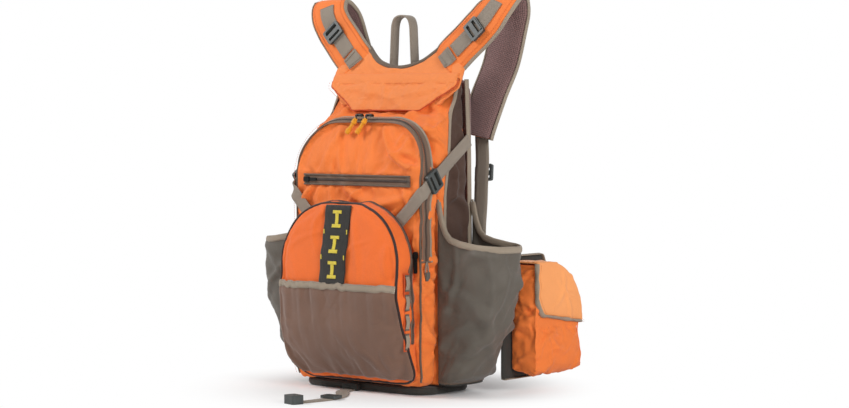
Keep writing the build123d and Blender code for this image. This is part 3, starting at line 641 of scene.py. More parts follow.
front_pocket = puff("front_pocket", "front_pocket_shell", ORANGE, voxel=4.2, pressure=4, cap=7,
                    still=behind_face, seams=[face_line, chest_line], flat=[arch_run], inset=1.2, slack=0.05,
                    fold=1.6, fold_scale=20, stretch=(1.3, 1, 0.6), seed=5.3,
                    folds=dict(count=70, height=6.2, width=10, length=55, slant=35, spread=25, seed=5))
finish_piece(front_pocket, "pack", "orange_fabric", "front_pocket")
front_tree = tree_of(front_pocket)
piping_line, _ = on_cloth(face_line, front_tree, 0.0004)
# Darker grosgrain, brown-grey, for the edges that get handled.
DARK_BINDING = cloth("dark_binding", "6a5a4c", pitch=1.3, weave=0.6, drift=0.1, pattern="ribs", crease=0.1)


def tube(name, line, radius, material, sides=10, closed=False):
    """Round cord along a line."""
    forward = ways(line)
    seed = np.array((0.31, 0.2, 0.93))
    rings = []
    for p, f in zip(line, forward):
        a = np.cross(f, seed)
        a /= np.linalg.norm(a)
        b = np.cross(f, a)
        rings.append([p + (a * cos(t) + b * sin(t)) * radius * MM
                      for t in np.linspace(0, 2 * pi, sides, endpoint=False)])
    return skin(name, rings, True, material, caps=not closed, close_line=closed)


piping = tube("front_pocket_piping", piping_line, radius=1.7, material=DARK_BINDING)
finish_piece(piping, "pack", "grey_webbing")
top_seam, _ = on_cloth(face_line, front_tree, 0.0002)
# Sewing thread a shade darker than the nylon. 0.3 mm plies are drawn at 0.6 mm; rows read as dashes.
THREAD = cloth("orange_thread", "d9682c", pitch=0.6, weave=0.3, drift=0.1, crease=0.0)


def spaced(line, ups, pitch):
    """Places pitch mm apart on a line, each with the directions along it, across it and out of it."""
    even = resample(line, pitch * MM)
    spot = np.linspace(0, len(line) - 1, len(even))
    normals = np.stack([np.interp(spot, range(len(line)), ups[:, i]) for i in range(3)], 1)
    forward = ways(even)
    side = np.cross(forward, normals)
    side /= np.maximum(np.linalg.norm(side, axis=1), 1e-9)[:, None]
    return even, forward, side, normals


def made_of(name, verts, faces, material):
    """Object of its own from points and faces."""
    mesh = bpy.data.meshes.new(name)
    mesh.from_pydata([tuple(v) for v in verts], [], faces)
    mesh.update()
    wrap(mesh)
    mesh.materials.append(material)
    obj = bpy.data.objects.new(name, mesh)
    scene.collection.objects.link(obj)
    return obj


def stitches(name, line, ups, material, shift=0.0, pitch=3.4, length=2.3, radius=0.38, lift=0.25):
    """Row of single stitches beside a line, as small rounded threads."""
    even, forward, side, normals = spaced(line, ups, pitch)
    verts, faces = [], []
    for p, f, s, u in zip(even[1:-1], forward[1:-1], side[1:-1], normals[1:-1]):
        middle = p + s * shift * MM + u * lift * MM
        base = len(verts)
        for end, grow in ((-1, 0.45), (-0.55, 1), (0.55, 1), (1, 0.45)):
            for a, b in ((-1, 0), (0, 1), (1, 0), (0, -1)):
                verts.append(middle + f * end * length / 2 * MM + (s * a + u * b) * radius * grow * MM)
        for k in range(3):
            for j in range(4):
                faces.append((base + k * 4 + j, base + k * 4 + (j + 1) % 4, base + k * 4 + 4 + (j + 1) % 4,
                              base + k * 4 + 4 + j))
        faces.append((base + 3, base + 2, base + 1, base))
        faces.append((base + 12, base + 13, base + 14, base + 15))
    return made_of(name, verts, faces, material)


seam_row = stitches("front_pocket_stitching", top_seam + np.array((0, -0.0005, 0)),
                    facing(top_seam, (0.0, -1.0, 0.0)), THREAD, shift=-5.5, lift=0.8)
finish_piece(seam_row, "pack", "orange_fabric")

arch_line, arch_ups = on_cloth(arch_run, front_tree, 0.0006)
even_out(arch_ups, 30)
arch_ups /= np.linalg.norm(arch_ups, axis=1)[:, None]
even_out(arch_line, 6)
# Zipper tape in a brown twill, flat and matt beside the coil.
TAPE = cloth("zipper_tape", "7a6150", pitch=1.2, weave=0.5, drift=0.08, pattern="twill", crease=0.05)
arch_tape = ribbon("arch_zipper_tape", arch_line, arch_ups, width=18, thickness=1.0, material=TAPE)


def solid(name, code, rough=0.42, metallic=0.0, grain=0.25, scale=1400, wear=0.06):
    """Moulded, cast or drawn material. grain is the depth of its fine surface texture, scale how fine
    that is, and wear how far its colour varies."""
    material, tree = new_finish(name)
    place = node(tree, "ShaderNodeTexCoord")
    grainy = node(tree, "ShaderNodeTexNoise", {"Vector": place.outputs["Object"], "Scale": scale,
                                               "Detail": 3})
    cloud = node(tree, "ShaderNodeTexNoise", {"Vector": place.outputs["Object"], "Scale": 60, "Detail": 5})
    colour = dye_ramp(tree, cloud.outputs["Fac"], code, 0.3, 0.75, 2 * wear, 4 * wear)
    gloss = node(tree, "ShaderNodeMapRange",
                 {"Value": cloud.outputs["Fac"], "To Min": rough - 0.08, "To Max": rough + 0.12})
    bump = node(tree, "ShaderNodeBump", {"Height": grainy.outputs["Fac"], "Strength": grain,
                                         "Distance": 0.0002})
    shader = node(tree, "ShaderNodeBsdfPrincipled",
                  {"Base Color": colour, "Roughness": gloss.outputs[0], "Normal": bump.outputs[0],
                   "Metallic": metallic})
    node(tree, "ShaderNodeOutputMaterial", {"Surface": shader.outputs[0]})
    return material


# Nylon zipper coil, dark brown, with a dull shine on each tooth.
COIL = solid("zipper_coil", "4d4039", rough=0.45, scale=700)


def teeth(name, line, ups, material, width=4.4, pitch=1.5, height=1.3, lift=0.0):
    """Zipper coil: small rounded teeth, left and right in turn, along a line."""
    even, forward, side, normals = spaced(line, ups, pitch)
    verts, faces = [], []
    for k, (p, f, s, u) in enumerate(zip(even, forward, side, normals)):
        turn = 1 if k % 2 else -1
        middle = p + s * turn * width * 0.14 * MM + u * lift * MM
        base = len(verts)
        for a, b, c in ((-1, -1, 0), (1, -1, 0), (1, 1, 0), (-1, 1, 0), (-0.8, -0.6, 1), (0.8, -0.6, 1),
                        (0.8, 0.6, 1), (-0.8, 0.6, 1)):
            verts.append(middle + s * a * width * 0.36 * MM + f * b * pitch * 0.42 * MM + u * c * height * MM)
        for q in ((3, 2, 1, 0), (4, 5, 6, 7), (0, 1, 5, 4), (1, 2, 6, 5), (2, 3, 7, 6), (3, 0, 4, 7)):
            faces.append(tuple(base + i for i in q))
    return made_of(name, verts, faces, material)


arch_coil = teeth("arch_zipper_coil", arch_line, arch_ups, COIL, lift=1.0)
welt_back = tube("arch_welt_back", arch_line - np.cross(ways(arch_line), arch_ups) * 0.0105, radius=2.0,
                 material=BINDING)


def join(name, parts):
    """One object from several."""
    work = bmesh.new()
    materials = []
    for part in parts:
        start = len(work.faces)
        work.from_mesh(part.data)
        work.faces.ensure_lookup_table()
        slots = []
        for m in part.data.materials:
            if m not in materials:
                materials.append(m)
            slots.append(materials.index(m))
        for face in work.faces[start:]:
            face.material_index = slots[min(face.material_index, len(slots) - 1)]
        bpy.data.objects.remove(part)
    mesh = bpy.data.meshes.new(name)
    work.to_mesh(mesh)
    work.free()
    for m in materials:
        mesh.materials.append(m)
    obj = bpy.data.objects.new(name, mesh)
    scene.collection.objects.link(obj)
    return obj


finish_piece(join("arch_zipper_set", [arch_tape, arch_coil, welt_back]), "pack", "zipper_tape", "arch_zipper")

end_pulls = []
cord_loop = ((0, 2), (-2.5, -6), (-3.6, -16), (-3.0, -23), (0, -26), (3.0, -23), (3.6, -16), (2.5, -6),
             (0, 2))
# Coated grey nylon, smooth and a bit shiny, so that long folds catch the light.
GREY = cloth("grey_nylon", "5e574e", pitch=0.9, drift=0.08, rough=0.55, crease=0.4)
for x, y, z in (arch_line[0], arch_line[-1]):
    way = np.sign(x)
    loop = [(x + way * 0.0012, y + dy * MM, z + dz * MM) for dy, dz in cord_loop]
    end_pulls.append(tube("loop", resample(loop, 0.002), radius=1.3, material=WEBBING))
    grip = [(x + way * 0.0016, y, z - down) for down in (0.014, 0.027)]
    end_pulls.append(bar("grip", grip, (way, 0.0, 0.0), width=9, thickness=2.6, material=GREY, step=0.002,
                         crown=0.6))
finish_piece(join("arch_end_pulls", end_pulls), "pack", "grey_webbing")

chest_line, chest_ups = on_cloth(chest_line, front_tree, 0.0, towards=(0, 1, 0))


def hit_from_front(tree, x, z):
    """Place where a straight look from the front meets a surface."""
    return tree.ray_cast(Vector((x, -0.2, z)), Vector((0, 1, 0)))[0]


for point in chest_line:
    hits = [hit_from_front(front_tree, point[0], point[2] + dz * MM) for dz in (-9, -5, 0, 5, 9)]
    point[1] = min([point[1]] + [hit.y + 0.0004 for hit in hits if hit is not None])


def bridge_hollows(line, times):
    """Keeps a taut tape in front of the hollows it spans."""
    for _ in range(times):
        line[1:-1, 1] = np.minimum(line[1:-1, 1], (line[:-2, 1] + line[2:, 1]) / 2)


bridge_hollows(chest_line, 4)
chest_tape = ribbon("chest_zipper_tape", chest_line, chest_ups, width=13, thickness=0.9, material=TAPE)
chest_coil = teeth("chest_zipper_coil", chest_line, chest_ups, COIL, lift=0.9)
up_way = np.array((0.0, 0.0, 1.0))
chest_welts = [tube("chest_welt", chest_line + up_way * s * 7.2 * MM + chest_ups * 0.0012, radius=1.5,
                    material=DARK_BINDING) for s in (1, -1)]
stop_reach = up_way * 0.008
chest_ends = [bar("chest_stop", [chest_line[i] - stop_reach, chest_line[i] + stop_reach], chest_ups[i],
                  width=5, thickness=1.8, material=DARK_BINDING, step=0.004) for i in (1, -2)]
finish_piece(join("chest_zipper_set", [chest_tape, chest_coil] + chest_welts + chest_ends),
             "pack", "zipper_tape", "chest_zipper")
chest_rows = [stitches("row", chest_line, chest_ups, THREAD, shift=s * 10.5, lift=0.4) for s in (1, -1)]
finish_piece(join("chest_zipper_stitching", chest_rows), "pack", "orange_fabric")


# ---- lower pocket --------------------------------------------------------------------------------
# A deep pocket that carries most, so its belly stands out and its right foot falls back. Cut from nylon
# like the rest, painted a deeper orange as painted shade under what stands over it, with cloth-covered
# black piping round its face and a zipper behind.
lower_line = arch(half=116, top=288, radius=92, low=64, y=-105)


def belly(z):
    """Depth of the lower pocket's face at a height, in metres."""
    heights = [.016, .018, .048, .100, .150, .283, .288]
    return np.interp(z, heights, [-.0753, -.0753, -.099, -.113, -.115, -.105, -.099])


lower_line = np.array([(p[0], belly(p[2]) + 0.002, p[2]) for p in lower_line])
corner_arc = [((116 - 46 + 46 * sin(a)) * MM, (16 + 46 - 46 * cos(a)) * MM)
              for a in np.linspace(pi / 2, 0.12, 12)]
foot = [(x, belly(z) + 0.002, z) for x, z in corner_arc]


def taper_foot(places):
    """The pocket's right foot falls back and out to the base's corner, where its load pulls it."""
    wall_y, corner_z, fall_back, spread_out, lean_out = 0.0673, 0.064, 0.86, 0.034, 0.006
    made = np.array(places, float)
    low = np.clip((0.155 - made[:, 2]) / 0.14, 0, 1)
    right = np.clip((made[:, 0] - 0.035) / 0.085, 0, 1) ** 1.5
    front = made[:, 1] < -0.0675
    share = np.where(front, 1 - fall_back * low ** 1.2 * right, 1)
    made[:, 1] = np.where(front, -wall_y + (made[:, 1] + wall_y) * share, made[:, 1])
    corner = right * np.clip((corner_z - made[:, 2]) / 0.046, 0, 1) ** 2 * spread_out
    made[:, 0] += np.where(made[:, 2] < corner_z, corner, 0) + lean_out * low * right
    return made


lower_loop = taper_foot(np.array(list(lower_line) + foot + [(-x, y, z) for x, y, z in reversed(foot)]))
# The same nylon on the lower pocket, painted deeper: painted shade for where it lies under what stands over
# it. The deepest orange.
PAINTED_SHADE_ORANGE = cloth("orange_nylon_painted_shade", "f1702a", pitch=0.9, drift=0.05, sheen=0.15)
# The lower pocket is painted in the deeper shaded orange: painted shade.
lower_pocket = puff("lower_pocket", "lower_pocket_shell", PAINTED_SHADE_ORANGE, voxel=4.2, pressure=5, cap=9,
                    still=lambda p: p[:, 1] > -0.071, seams=[lower_loop], shape=taper_foot, inset=1.0,
                    slack=0.04,
                    fold=1.3, fold_scale=18, stretch=(1.2, 1, 0.6), seed=9.7,
                    folds=dict(count=30, height=2.2, width=8, length=44, slant=70, spread=20, seed=8))
finish_piece(lower_pocket, "pack", "orange_fabric", "lower_pocket")
lower_tree = tree_of(lower_pocket)
loop = resample(np.vstack([lower_loop, lower_loop[:1]]), 0.003)
loop, _ = on_cloth(loop, lower_tree, 0.0006)
# Cloth-covered piping in brown-black: smooth, with a narrow line of light along its round.
PIPING = cloth("black_piping", "2a1712", pitch=1.0, weave=0.3, drift=0.2, rough=0.55, crease=0.0)
piping = tube("lower_pocket_piping", loop[:-1], radius=2.1, material=PIPING, closed=True)
finish_piece(piping, "pack", "black_webbing")
lower_zip_line = arch(half=116, top=288, radius=92, low=80, y=-78)
lower_zip_line, lower_zip_ups = on_cloth(lower_zip_line, lower_tree, 0.0003)
zip_tape = ribbon("lower_zipper_tape", lower_zip_line, lower_zip_ups, width=9, thickness=0.9, material=TAPE)
zip_coil = teeth("lower_zipper_coil", lower_zip_line, lower_zip_ups, COIL, lift=0.8)
finish_piece(join("lower_zipper_set", [zip_tape, zip_coil]), "pack", "zipper_tape", "lower_zipper")


# ---- stretch pocket ------------------------------------------------------------------------------
# A panel of ribbed stretch knit sewn over the lower pocket's foot on three sides and open at its top,
# where a grosgrain hem gathers it a little.
rows, columns = 46, 90
foot_z, hem_z, half_width, corner_z, corner_radius = 0.026, 0.166, 0.1145, 0.062, 0.046
sheet_rings = []
for i in range(rows + 1):
    z = foot_z + (hem_z - foot_z) * i / rows
    reach = half_width
    if z <= corner_z:
        reach = 0.0685 + corner_radius * sqrt(max(0.0, 1 - ((corner_z - z) / corner_radius) ** 2))
    ring = []
    for j in range(columns + 1):
        x = reach * (2 * j / columns - 1)
        ring.append(tuple(taper_foot(np.array([(x, belly(z), z)]))[0]))
    sheet_rings.append(ring)
flat = np.array(sheet_rings).reshape(-1, 3)
laid, laid_ups = [], []
for p in flat:
    hit, normal, _, _ = lower_tree.find_nearest(Vector(p))
    laid.append(hit)
    laid_ups.append(normal)
laid, laid_ups = np.array(laid), np.array(laid_ups)
rise = np.clip((laid[:, 2] - 0.03) / 0.13, 0, 1)
edge = np.tile(np.clip((1 - abs(np.linspace(-1, 1, columns + 1))) / 0.17, 0, 1), rows + 1)
wave = np.array([noise.noise(Vector((x * 55, z * 7, 3.0))) + 0.5 * noise.noise(Vector((x * 120, z * 12, 8.0)))
                 for x, _, z in laid])
swell = 1.3 * MM + 2.6 * MM * edge * (0.35 + 0.65 * rise) * (0.6 + wave)
laid = laid + laid_ups * np.maximum(swell, 0.9 * MM)[:, None]
grid_shape = (rows + 1, columns + 1, 3)
# Ribbed stretch knit, brown-grey and quite matt. Its fine ribs are drawn at 1.6 mm.
STRETCH = cloth("stretch_knit", "7a5b4b", pitch=1.6, weave=0.5, drift=0.08, pattern="ribs", rough=0.8,
                sheen=0.3)
stretch = skin("stretch_pocket_panel", laid.reshape(grid_shape), False, STRETCH)
wrap(stretch.data)


def thicken(obj, thickness, offset=0):
    """Gives a sheet its thickness in mm."""
    thick = obj.modifiers.new("thick", "SOLIDIFY")
    thick.thickness = thickness * MM
    thick.offset = offset
    settle(obj)


thicken(stretch, 0.9, offset=1)
finish_piece(stretch, "pack", "stretch_fabric", "stretch_pocket")
hem_ups = laid_ups.reshape(grid_shape)[-1]
hem_line = laid.reshape(grid_shape)[-1] + hem_ups * 0.4 * MM - np.array((0, 0, 3.5 * MM))
hem = ribbon("stretch_pocket_hem", hem_line, hem_ups, width=11, thickness=1.9, material=BINDING, crown=0.3)
finish_piece(hem, "pack", "grey_webbing")
# The same thread in grey, for seams on tape and webbing.
GREY_THREAD = cloth("grey_thread", "8a7f72", pitch=0.6, weave=0.3, drift=0.1, crease=0.0)
hem_rows = [stitches("row", hem_line, hem_ups, GREY_THREAD, shift=s * 4.0, lift=2.4) for s in (1, -1)]
finish_piece(join("stretch_hem_stitching", hem_rows), "pack", "grey_webbing")


# ---- webbing ladder ------------------------------------------------------------------------------
# 50 mm black webbing on the lower pocket's middle, held every 38 mm by a bar tack of thick yellow
# thread. Between the tacks it keeps some slack, so that gear can be clipped behind it.
ladder_line = resample(np.array([(0, -110, 167), (0, -107, 284)]) * MM, 0.002)
for point in ladder_line:
    hits = [hit_from_front(lower_tree, x * MM, point[2]) for x in (-24, -16, -8, 0, 8, 16, 24)]
    point[1] = min(hit.y for hit in hits if hit is not None) - 0.0005
bridge_hollows(ladder_line, 6)
ladder_ups = facing(ladder_line, (0.0, -1.0, 0.0))
first_tack, tack_pitch = 188, 38
slack_rise = np.array([1.3 * MM * abs(sin(pi * (p[2] / MM - first_tack) / tack_pitch)) ** 1.5
                       for p in ladder_line])
ladder_line = ladder_line + ladder_ups * slack_rise[:, None]
web_thickness = 1.7
# The same webbing in black, its dye a little uneven from wear.
BLACK_WEBBING = cloth("black_webbing", "26231f", pitch=2.2, weave=0.7, drift=0.2, pattern="herring",
                      rough=0.7, crease=0.05)
ladder = ribbon("ladder_webbing", ladder_line, ladder_ups, width=50, thickness=web_thickness,
                material=BLACK_WEBBING)
finish_piece(ladder, "pack", "black_webbing", "daisy_webbing")
bars = []
# Thick yellow bar-tack thread: ribbed by its zigzag, with some gloss.
YELLOW = cloth("yellow_thread", "e8d042", pitch=0.9, weave=0.8, drift=0.1, pattern="ribs", rough=0.5,
               crease=0.0)
for middle in range(first_tack, first_tack + 3 * tack_pitch, tack_pitch):
    for low, high, width in ((-13, -8, 17), (-8, 8, 6), (8, 13, 17)):
        short = resample(np.array([(0, -110, middle + low), (0, -110, middle + high)]) * MM, 0.0012)
        spots = [int(np.argmin(abs(ladder_line[:, 2] - p[2]))) for p in short]
        lifted = np.array([(0, ladder_line[i][1], p[2]) for i, p in zip(spots, short)])
        lifted = lifted + ladder_ups[spots] * web_thickness * MM
        bars.append(ribbon("bar", lifted, ladder_ups[spots], width, thickness=1.0, material=YELLOW,
                           crown=0.2))
finish_piece(join("ladder_bar_tacks", bars), "pack", "yellow_thread", "daisy_bar_tacks")
dashes = []
for z in (207, 245):
    i = int(np.argmin(abs(ladder_line[:, 2] - z * MM)))
    for x in (-22.5, 22.5):
        ends = [(x * MM, ladder_line[i][1] - 0.0019, z * MM + reach) for reach in (-0.0035, 0.0035)]
        dashes.append(bar("dash", ends, (0.0, -1.0, 0.0), width=1.8, thickness=0.5, material=YELLOW,
                          step=0.001))
finish_piece(join("ladder_edge_tacks", dashes), "pack", "yellow_thread")


# ---- yoke and its flap ---------------------------------------------------------------------------
# The yoke is a shaped panel of orange nylon with a little padding that leans back over the bag's top and
# takes the straps. Mesh lines it, and tape binds its neck. The flap is a loose panel of the same cloth,
# folded over at the hinge, stitched and piped round its rim.
face_y, face_z, lean_by, lean_over = -1, 424, 33, 70
lean_cos, lean_sin = 0.9045, 0.4264
flap_face = (0.0, -lean_cos, lean_sin)

yoke_half = [(0, 494), (16, 495.5), (32, 499.5), (46, 505), (60, 515), (74, 527), (96, 519), (127, 494),
             (127, 463), (104, 446), (100, 437), (0, 437)]
yoke_outline = yoke_half + [(-x, z) for x, z in reversed(yoke_half[1:-1])]
yoke_work = bmesh.new()


def lean_y(z):
    """Depth of the leaning face at a height, both in mm."""
    return face_y + (z - face_z) * lean_by / lean_over


yoke_layers = [[yoke_work.verts.new((x * MM, (lean_y(z) + deep * lean_cos) * MM, (z - deep * lean_sin) * MM))
                for x, z in yoke_outline] for deep in (0.4, 10)]
yoke_work.faces.new(yoke_layers[0])
yoke_work.faces.new(yoke_layers[1][::-1])
for i in range(len(yoke_outline)):
    k = (i + 1) % len(yoke_outline)
    yoke_work.faces.new((yoke_layers[0][i], yoke_layers[1][i], yoke_layers[1][k], yoke_layers[0][k]))
bmesh.ops.recalc_face_normals(yoke_work, faces=yoke_work.faces)
yoke_block = bpy.data.meshes.new("yoke_block")
yoke_work.to_mesh(yoke_block)
yoke_work.free()
# The same nylon on the yoke and its flap, painted paler: a painted highlight, a lit copy of the orange for
# faces turned up towards the lamps. As softly wrinkled.
PAINTED_HIGHLIGHT_ORANGE = cloth("orange_nylon_painted_highlight", "f28a47", pitch=0.9, drift=0.05, sheen=0.15, crease=0.45)


def under_flap(places):
    """Sinks the yoke below the flap, leaving it flush above the hinge line."""
    made = places.copy()
    sunk = 5.0
    depth = -(made[:, 1] / MM - face_y - (made[:, 2] / MM - face_z) * lean_by / lean_over) * lean_cos
    low = (made[:, 2] < 0.4755) & (depth > -sunk)
    made[low, 1] += np.maximum(0, (depth[low] + sunk)) * MM / lean_cos
    return made


# The yoke is painted in the paler lit orange: painted highlight.
yoke = puff(yoke_block, "yoke_panel", PAINTED_HIGHLIGHT_ORANGE, voxel=3.0, pressure=0, cap=2,
            shape=under_flap, inset=0.2, fold=0.8, fold_scale=26, seed=4.4,
            folds=dict(count=22, height=1.0, width=9, length=40, slant=55, spread=25, seed=6))
# Spacer mesh, soft and matt: a grid of small dark holes 3 mm apart on a dusty brown ground.
SPACER = cloth("spacer_mesh", "94726f", pitch=3.0, weave=0.7, drift=0.1, pattern="mesh", rough=0.85,
               sheen=0.3)
second_face(yoke, SPACER, lambda polygon: polygon.normal.y > 0.35)
finish_piece(yoke, "pack", "orange_fabric", "yoke")
flap_edge = [(-127, 474), (-127, 462), (-69, 424.5), (69, 424.5), (127, 462), (127, 474)]


def lean_point(x, z, out=0.0):
    """Point on the face of the flap, in metres."""
    return (x * MM, (lean_y(z) - out * lean_cos) * MM, (z + out * lean_sin) * MM)


flap_line = resample([lean_point(x, z) for x, z in flap_edge], 0.003)
# The flap is painted in the same paler lit orange: painted highlight.
flap = puff("yoke_flap", "yoke_flap_panel", PAINTED_HIGHLIGHT_ORANGE, voxel=2.4, pressure=2.5, cap=3.5,
            still=lambda p: p[:, 2] > 0.472, inset=0.2, slack=0.05,
            fold=1.2, fold_scale=18, stretch=(0.7, 1, 1.4), seed=6.1,
            folds=dict(count=24, height=1.4, width=9, length=42, slant=40, spread=30, seed=4))
finish_piece(flap, "yoke_flap", "orange_fabric", "yoke_flap")
rim, _ = on_cloth(flap_line, tree_of(flap), 0.0003)
finish_piece(stitches("flap_stitching", rim, facing(rim, flap_face), THREAD, shift=5.0, lift=1.2),
             "yoke_flap", "orange_fabric")
# The same nylon painted darker and redder: painted shade for narrow edges, the flap's rim and the lash
# strips' base.
ORANGE_SHADE = cloth("orange_edge_painted_shade", "c8501f", pitch=0.9, drift=0.07)
# The flap's rim piping is painted in the shaded orange: painted shade under its edge.
finish_piece(tube("flap_edge_piping", rim, radius=1.0, material=ORANGE_SHADE), "yoke_flap", "orange_fabric")
hinge_line = np.array([lean_point(x, 475.5, -0.5) for x in np.linspace(-124, 124, 63)])
# The hinge fold is painted in the same paler lit orange: painted highlight.
hinge_fold = ribbon("flap_hinge_fold", hinge_line, facing(hinge_line, flap_face), width=17, thickness=1.2,
                    material=PAINTED_HIGHLIGHT_ORANGE, crown=0.7)
finish_piece(hinge_fold, "pack", "orange_fabric")

neck_half = yoke_half[:6]
neck_rim = [(-x, z) for x, z in reversed(neck_half)] + neck_half[1:]


def curve_through(points, per_run=10):
    """Smooth line through points, as a Catmull-Rom spline, in metres from millimetres."""
    p = [np.array(q, float) * MM for q in points]
    p = [2 * p[0] - p[1]] + p + [2 * p[-1] - p[-2]]
    made = []
    for a, b, c, d in zip(p, p[1:], p[2:], p[3:]):
        for t in np.linspace(0, 1, per_run, endpoint=False):
            made.append(0.5 * (2 * b + (c - a) * t + (2 * a - 5 * b + 4 * c - d) * t * t
                               + (3 * b - a - 3 * c + d) * t ** 3))
    made.append(p[-2])
    return np.array(made)


neck_line = curve_through([(x, lean_y(z) + 3.5, z - 2.0) for x, z in neck_rim], 8)
neck_hem = ribbon("hem", neck_line, facing(neck_line, (0.0, -0.35, 0.94)), width=9, thickness=2.6,
                  material=DARK_BINDING, crown=0.5)
finish_piece(join("neck_binding", [neck_hem]), "pack", "grey_webbing")


# ---- shoulder straps -----------------------------------------------------------------------------
# Foam strips covered in orange nylon and lined with spacer mesh, bound along both edges. They curve in
# two planes, from the yoke over their crests and down the back. The lifter webbing lies on them, its
# anchor tab sewn down with two bar tacks.
strap_path = [(86, 38.5, 496), (93, 41.5, 503), (112, 45.5, 521), (131, 50.0, 539), (150, 54.3, 558),
              (164, 59.5, 576), (173, 69, 592), (175.5, 79, 599),
              (172, 91, 592), (167, 100.5, 575), (158, 104, 545), (143, 106, 497), (127, 97.5, 450),
              (113, 89, 402), (109.5, 86.5, 387)]
half_width, half_depth, round_steps = 31.5, 6.2, 28
profile = [(cos(t), sin(t)) for t in np.linspace(0, 2 * pi, round_steps, endpoint=False)]
tab_end, lifter_end = 7, 33
for side, label in SIDES:
    middle = resample(curve_through([(side * x, y, z) for x, y, z in strap_path], 12), 0.004)
    forward = ways(middle)
    flat_side = forward.copy()
    flat_side[:, 0] = 0
    flat_side /= np.linalg.norm(flat_side, axis=1)[:, None]
    ups = np.cross(flat_side, np.array((1.0, 0.0, 0.0)))
    ups = ups - forward * (ups * forward).sum(1)[:, None]
    ups /= np.linalg.norm(ups, axis=1)[:, None]
    if ups[2][1] > 0:
        ups = -ups
    across = np.cross(forward, ups)
    rings = []
    n = len(middle)
    for i, (p, a, u) in enumerate(zip(middle, across, ups)):
        share = i / (n - 1)
        half = half_width * MM * (1 - 0.10 * np.clip((share - 0.75) / 0.25, 0, 1))
        wave = 0.8 * MM * noise.noise(Vector(p) * 34)
        rings.append([p + a * half * np.sign(c) * abs(c) ** 0.55
                      + u * (half_depth * MM * np.sign(d) * abs(d) ** 0.75 + wave) for c, d in profile])
    strap = skin("shoulder_strap_" + label + "_pad", rings, True, ORANGE, caps=True)
    second_face(strap, SPACER, lambda polygon: polygon.normal.dot(
        Vector(ups[min(n - 1, polygon.vertices[0] // round_steps)])) < -0.02)
    strap.modifiers.new("finer", "SUBSURF").levels = 1
    settle(strap)
    finish_piece(strap, "pack", "orange_fabric", "shoulder_strap_" + label)
    edges = [ribbon("edge", middle + across * turn * 31.2 * MM, across * turn, width=7, thickness=1.5,
                    material=BINDING, crown=0.4) for turn in (1, -1)]
    finish_piece(join("strap_binding_" + label, edges), "pack", "grey_webbing")
    seam_rows = [stitches("row", middle + across * turn * 25 * MM + ups * 4.6 * MM, ups, THREAD, lift=0.9)
                 for turn in (1, -1)]
    finish_piece(join("strap_stitching_" + label, seam_rows), "pack", "orange_fabric")
    strap_end = ribbon("strap_end_" + label, middle[-8:] + ups[-8:] * 2.2 * MM, ups[-8:], width=60,
                       thickness=5.2,
                       material=DARK_BINDING)
    finish_piece(strap_end, "pack", "grey_webbing")
    tab_thickness = 2.6
    tab_line = middle[:tab_end] + ups[:tab_end] * 6.6 * MM
    tab = ribbon("tab", tab_line, ups[:tab_end], width=27, thickness=tab_thickness, material=WEBBING)
    bars = [bar("bar", [tab_line[i] + ups[i] * tab_thickness * MM - across[i] * 0.012,
                        tab_line[i] + ups[i] * tab_thickness * MM + across[i] * 0.012], ups[i],
                width=2.6, thickness=0.9, material=GREY_THREAD, step=0.002) for i in (1, 5)]
    finish_piece(join("lifter_anchor_" + label, [tab] + bars), "pack", "grey_webbing")
    lifter = ribbon("lifter_strap_" + label, middle[tab_end:lifter_end] + ups[tab_end:lifter_end] * 6.5 * MM,
                    ups[tab_end:lifter_end], width=25, thickness=1.8, material=WEBBING)
    finish_piece(lifter, "pack", "grey_webbing", "lifter_webbing_" + label)


# ---- game bags -----------------------------------------------------------------------------------
# Open bags of coated grey nylon at both sides. One sheet runs round from the side seam to the belt and
# hangs in long soft folds; grosgrain binds its rim, and the floor is of the dark base cloth.
bag_plan = [(128.6, -30), (160, -32.5), (192, -33.5), (216, -28.5), (232, -16), (238, 4), (239, 24),
            (233, 36),
            (222, 46), (205, 53), (160, 53.5), (129, 53.5)]
bag_plan = resample(curve_through([(x, y, 0) for x, y in bag_plan], 10), 0.0035)
wall_x, widest_x, bag_floor, height_steps = 0.1286, 0.239, 0.0165, 64
outline_x = [130, 152, 182, 205, 226, 240, 241]
outline_z = [15, 15.5, 30, 80, 125, 168, 300]
# Heavy dark nylon with a visible coarse weave and no shine.
BASE = cloth("base_nylon", "35332f", pitch=1.1, weave=0.4, drift=0.15)


def bag_rim(x):
    """Height of the game bag's rim at a distance from the middle, in metres."""
    reaches = [.128, .131, .136, .143, .153, .170, .200, .240]
    return float(np.interp(x, reaches, [.295, .280, .262, .246, .236, .231, .226, .2225]))


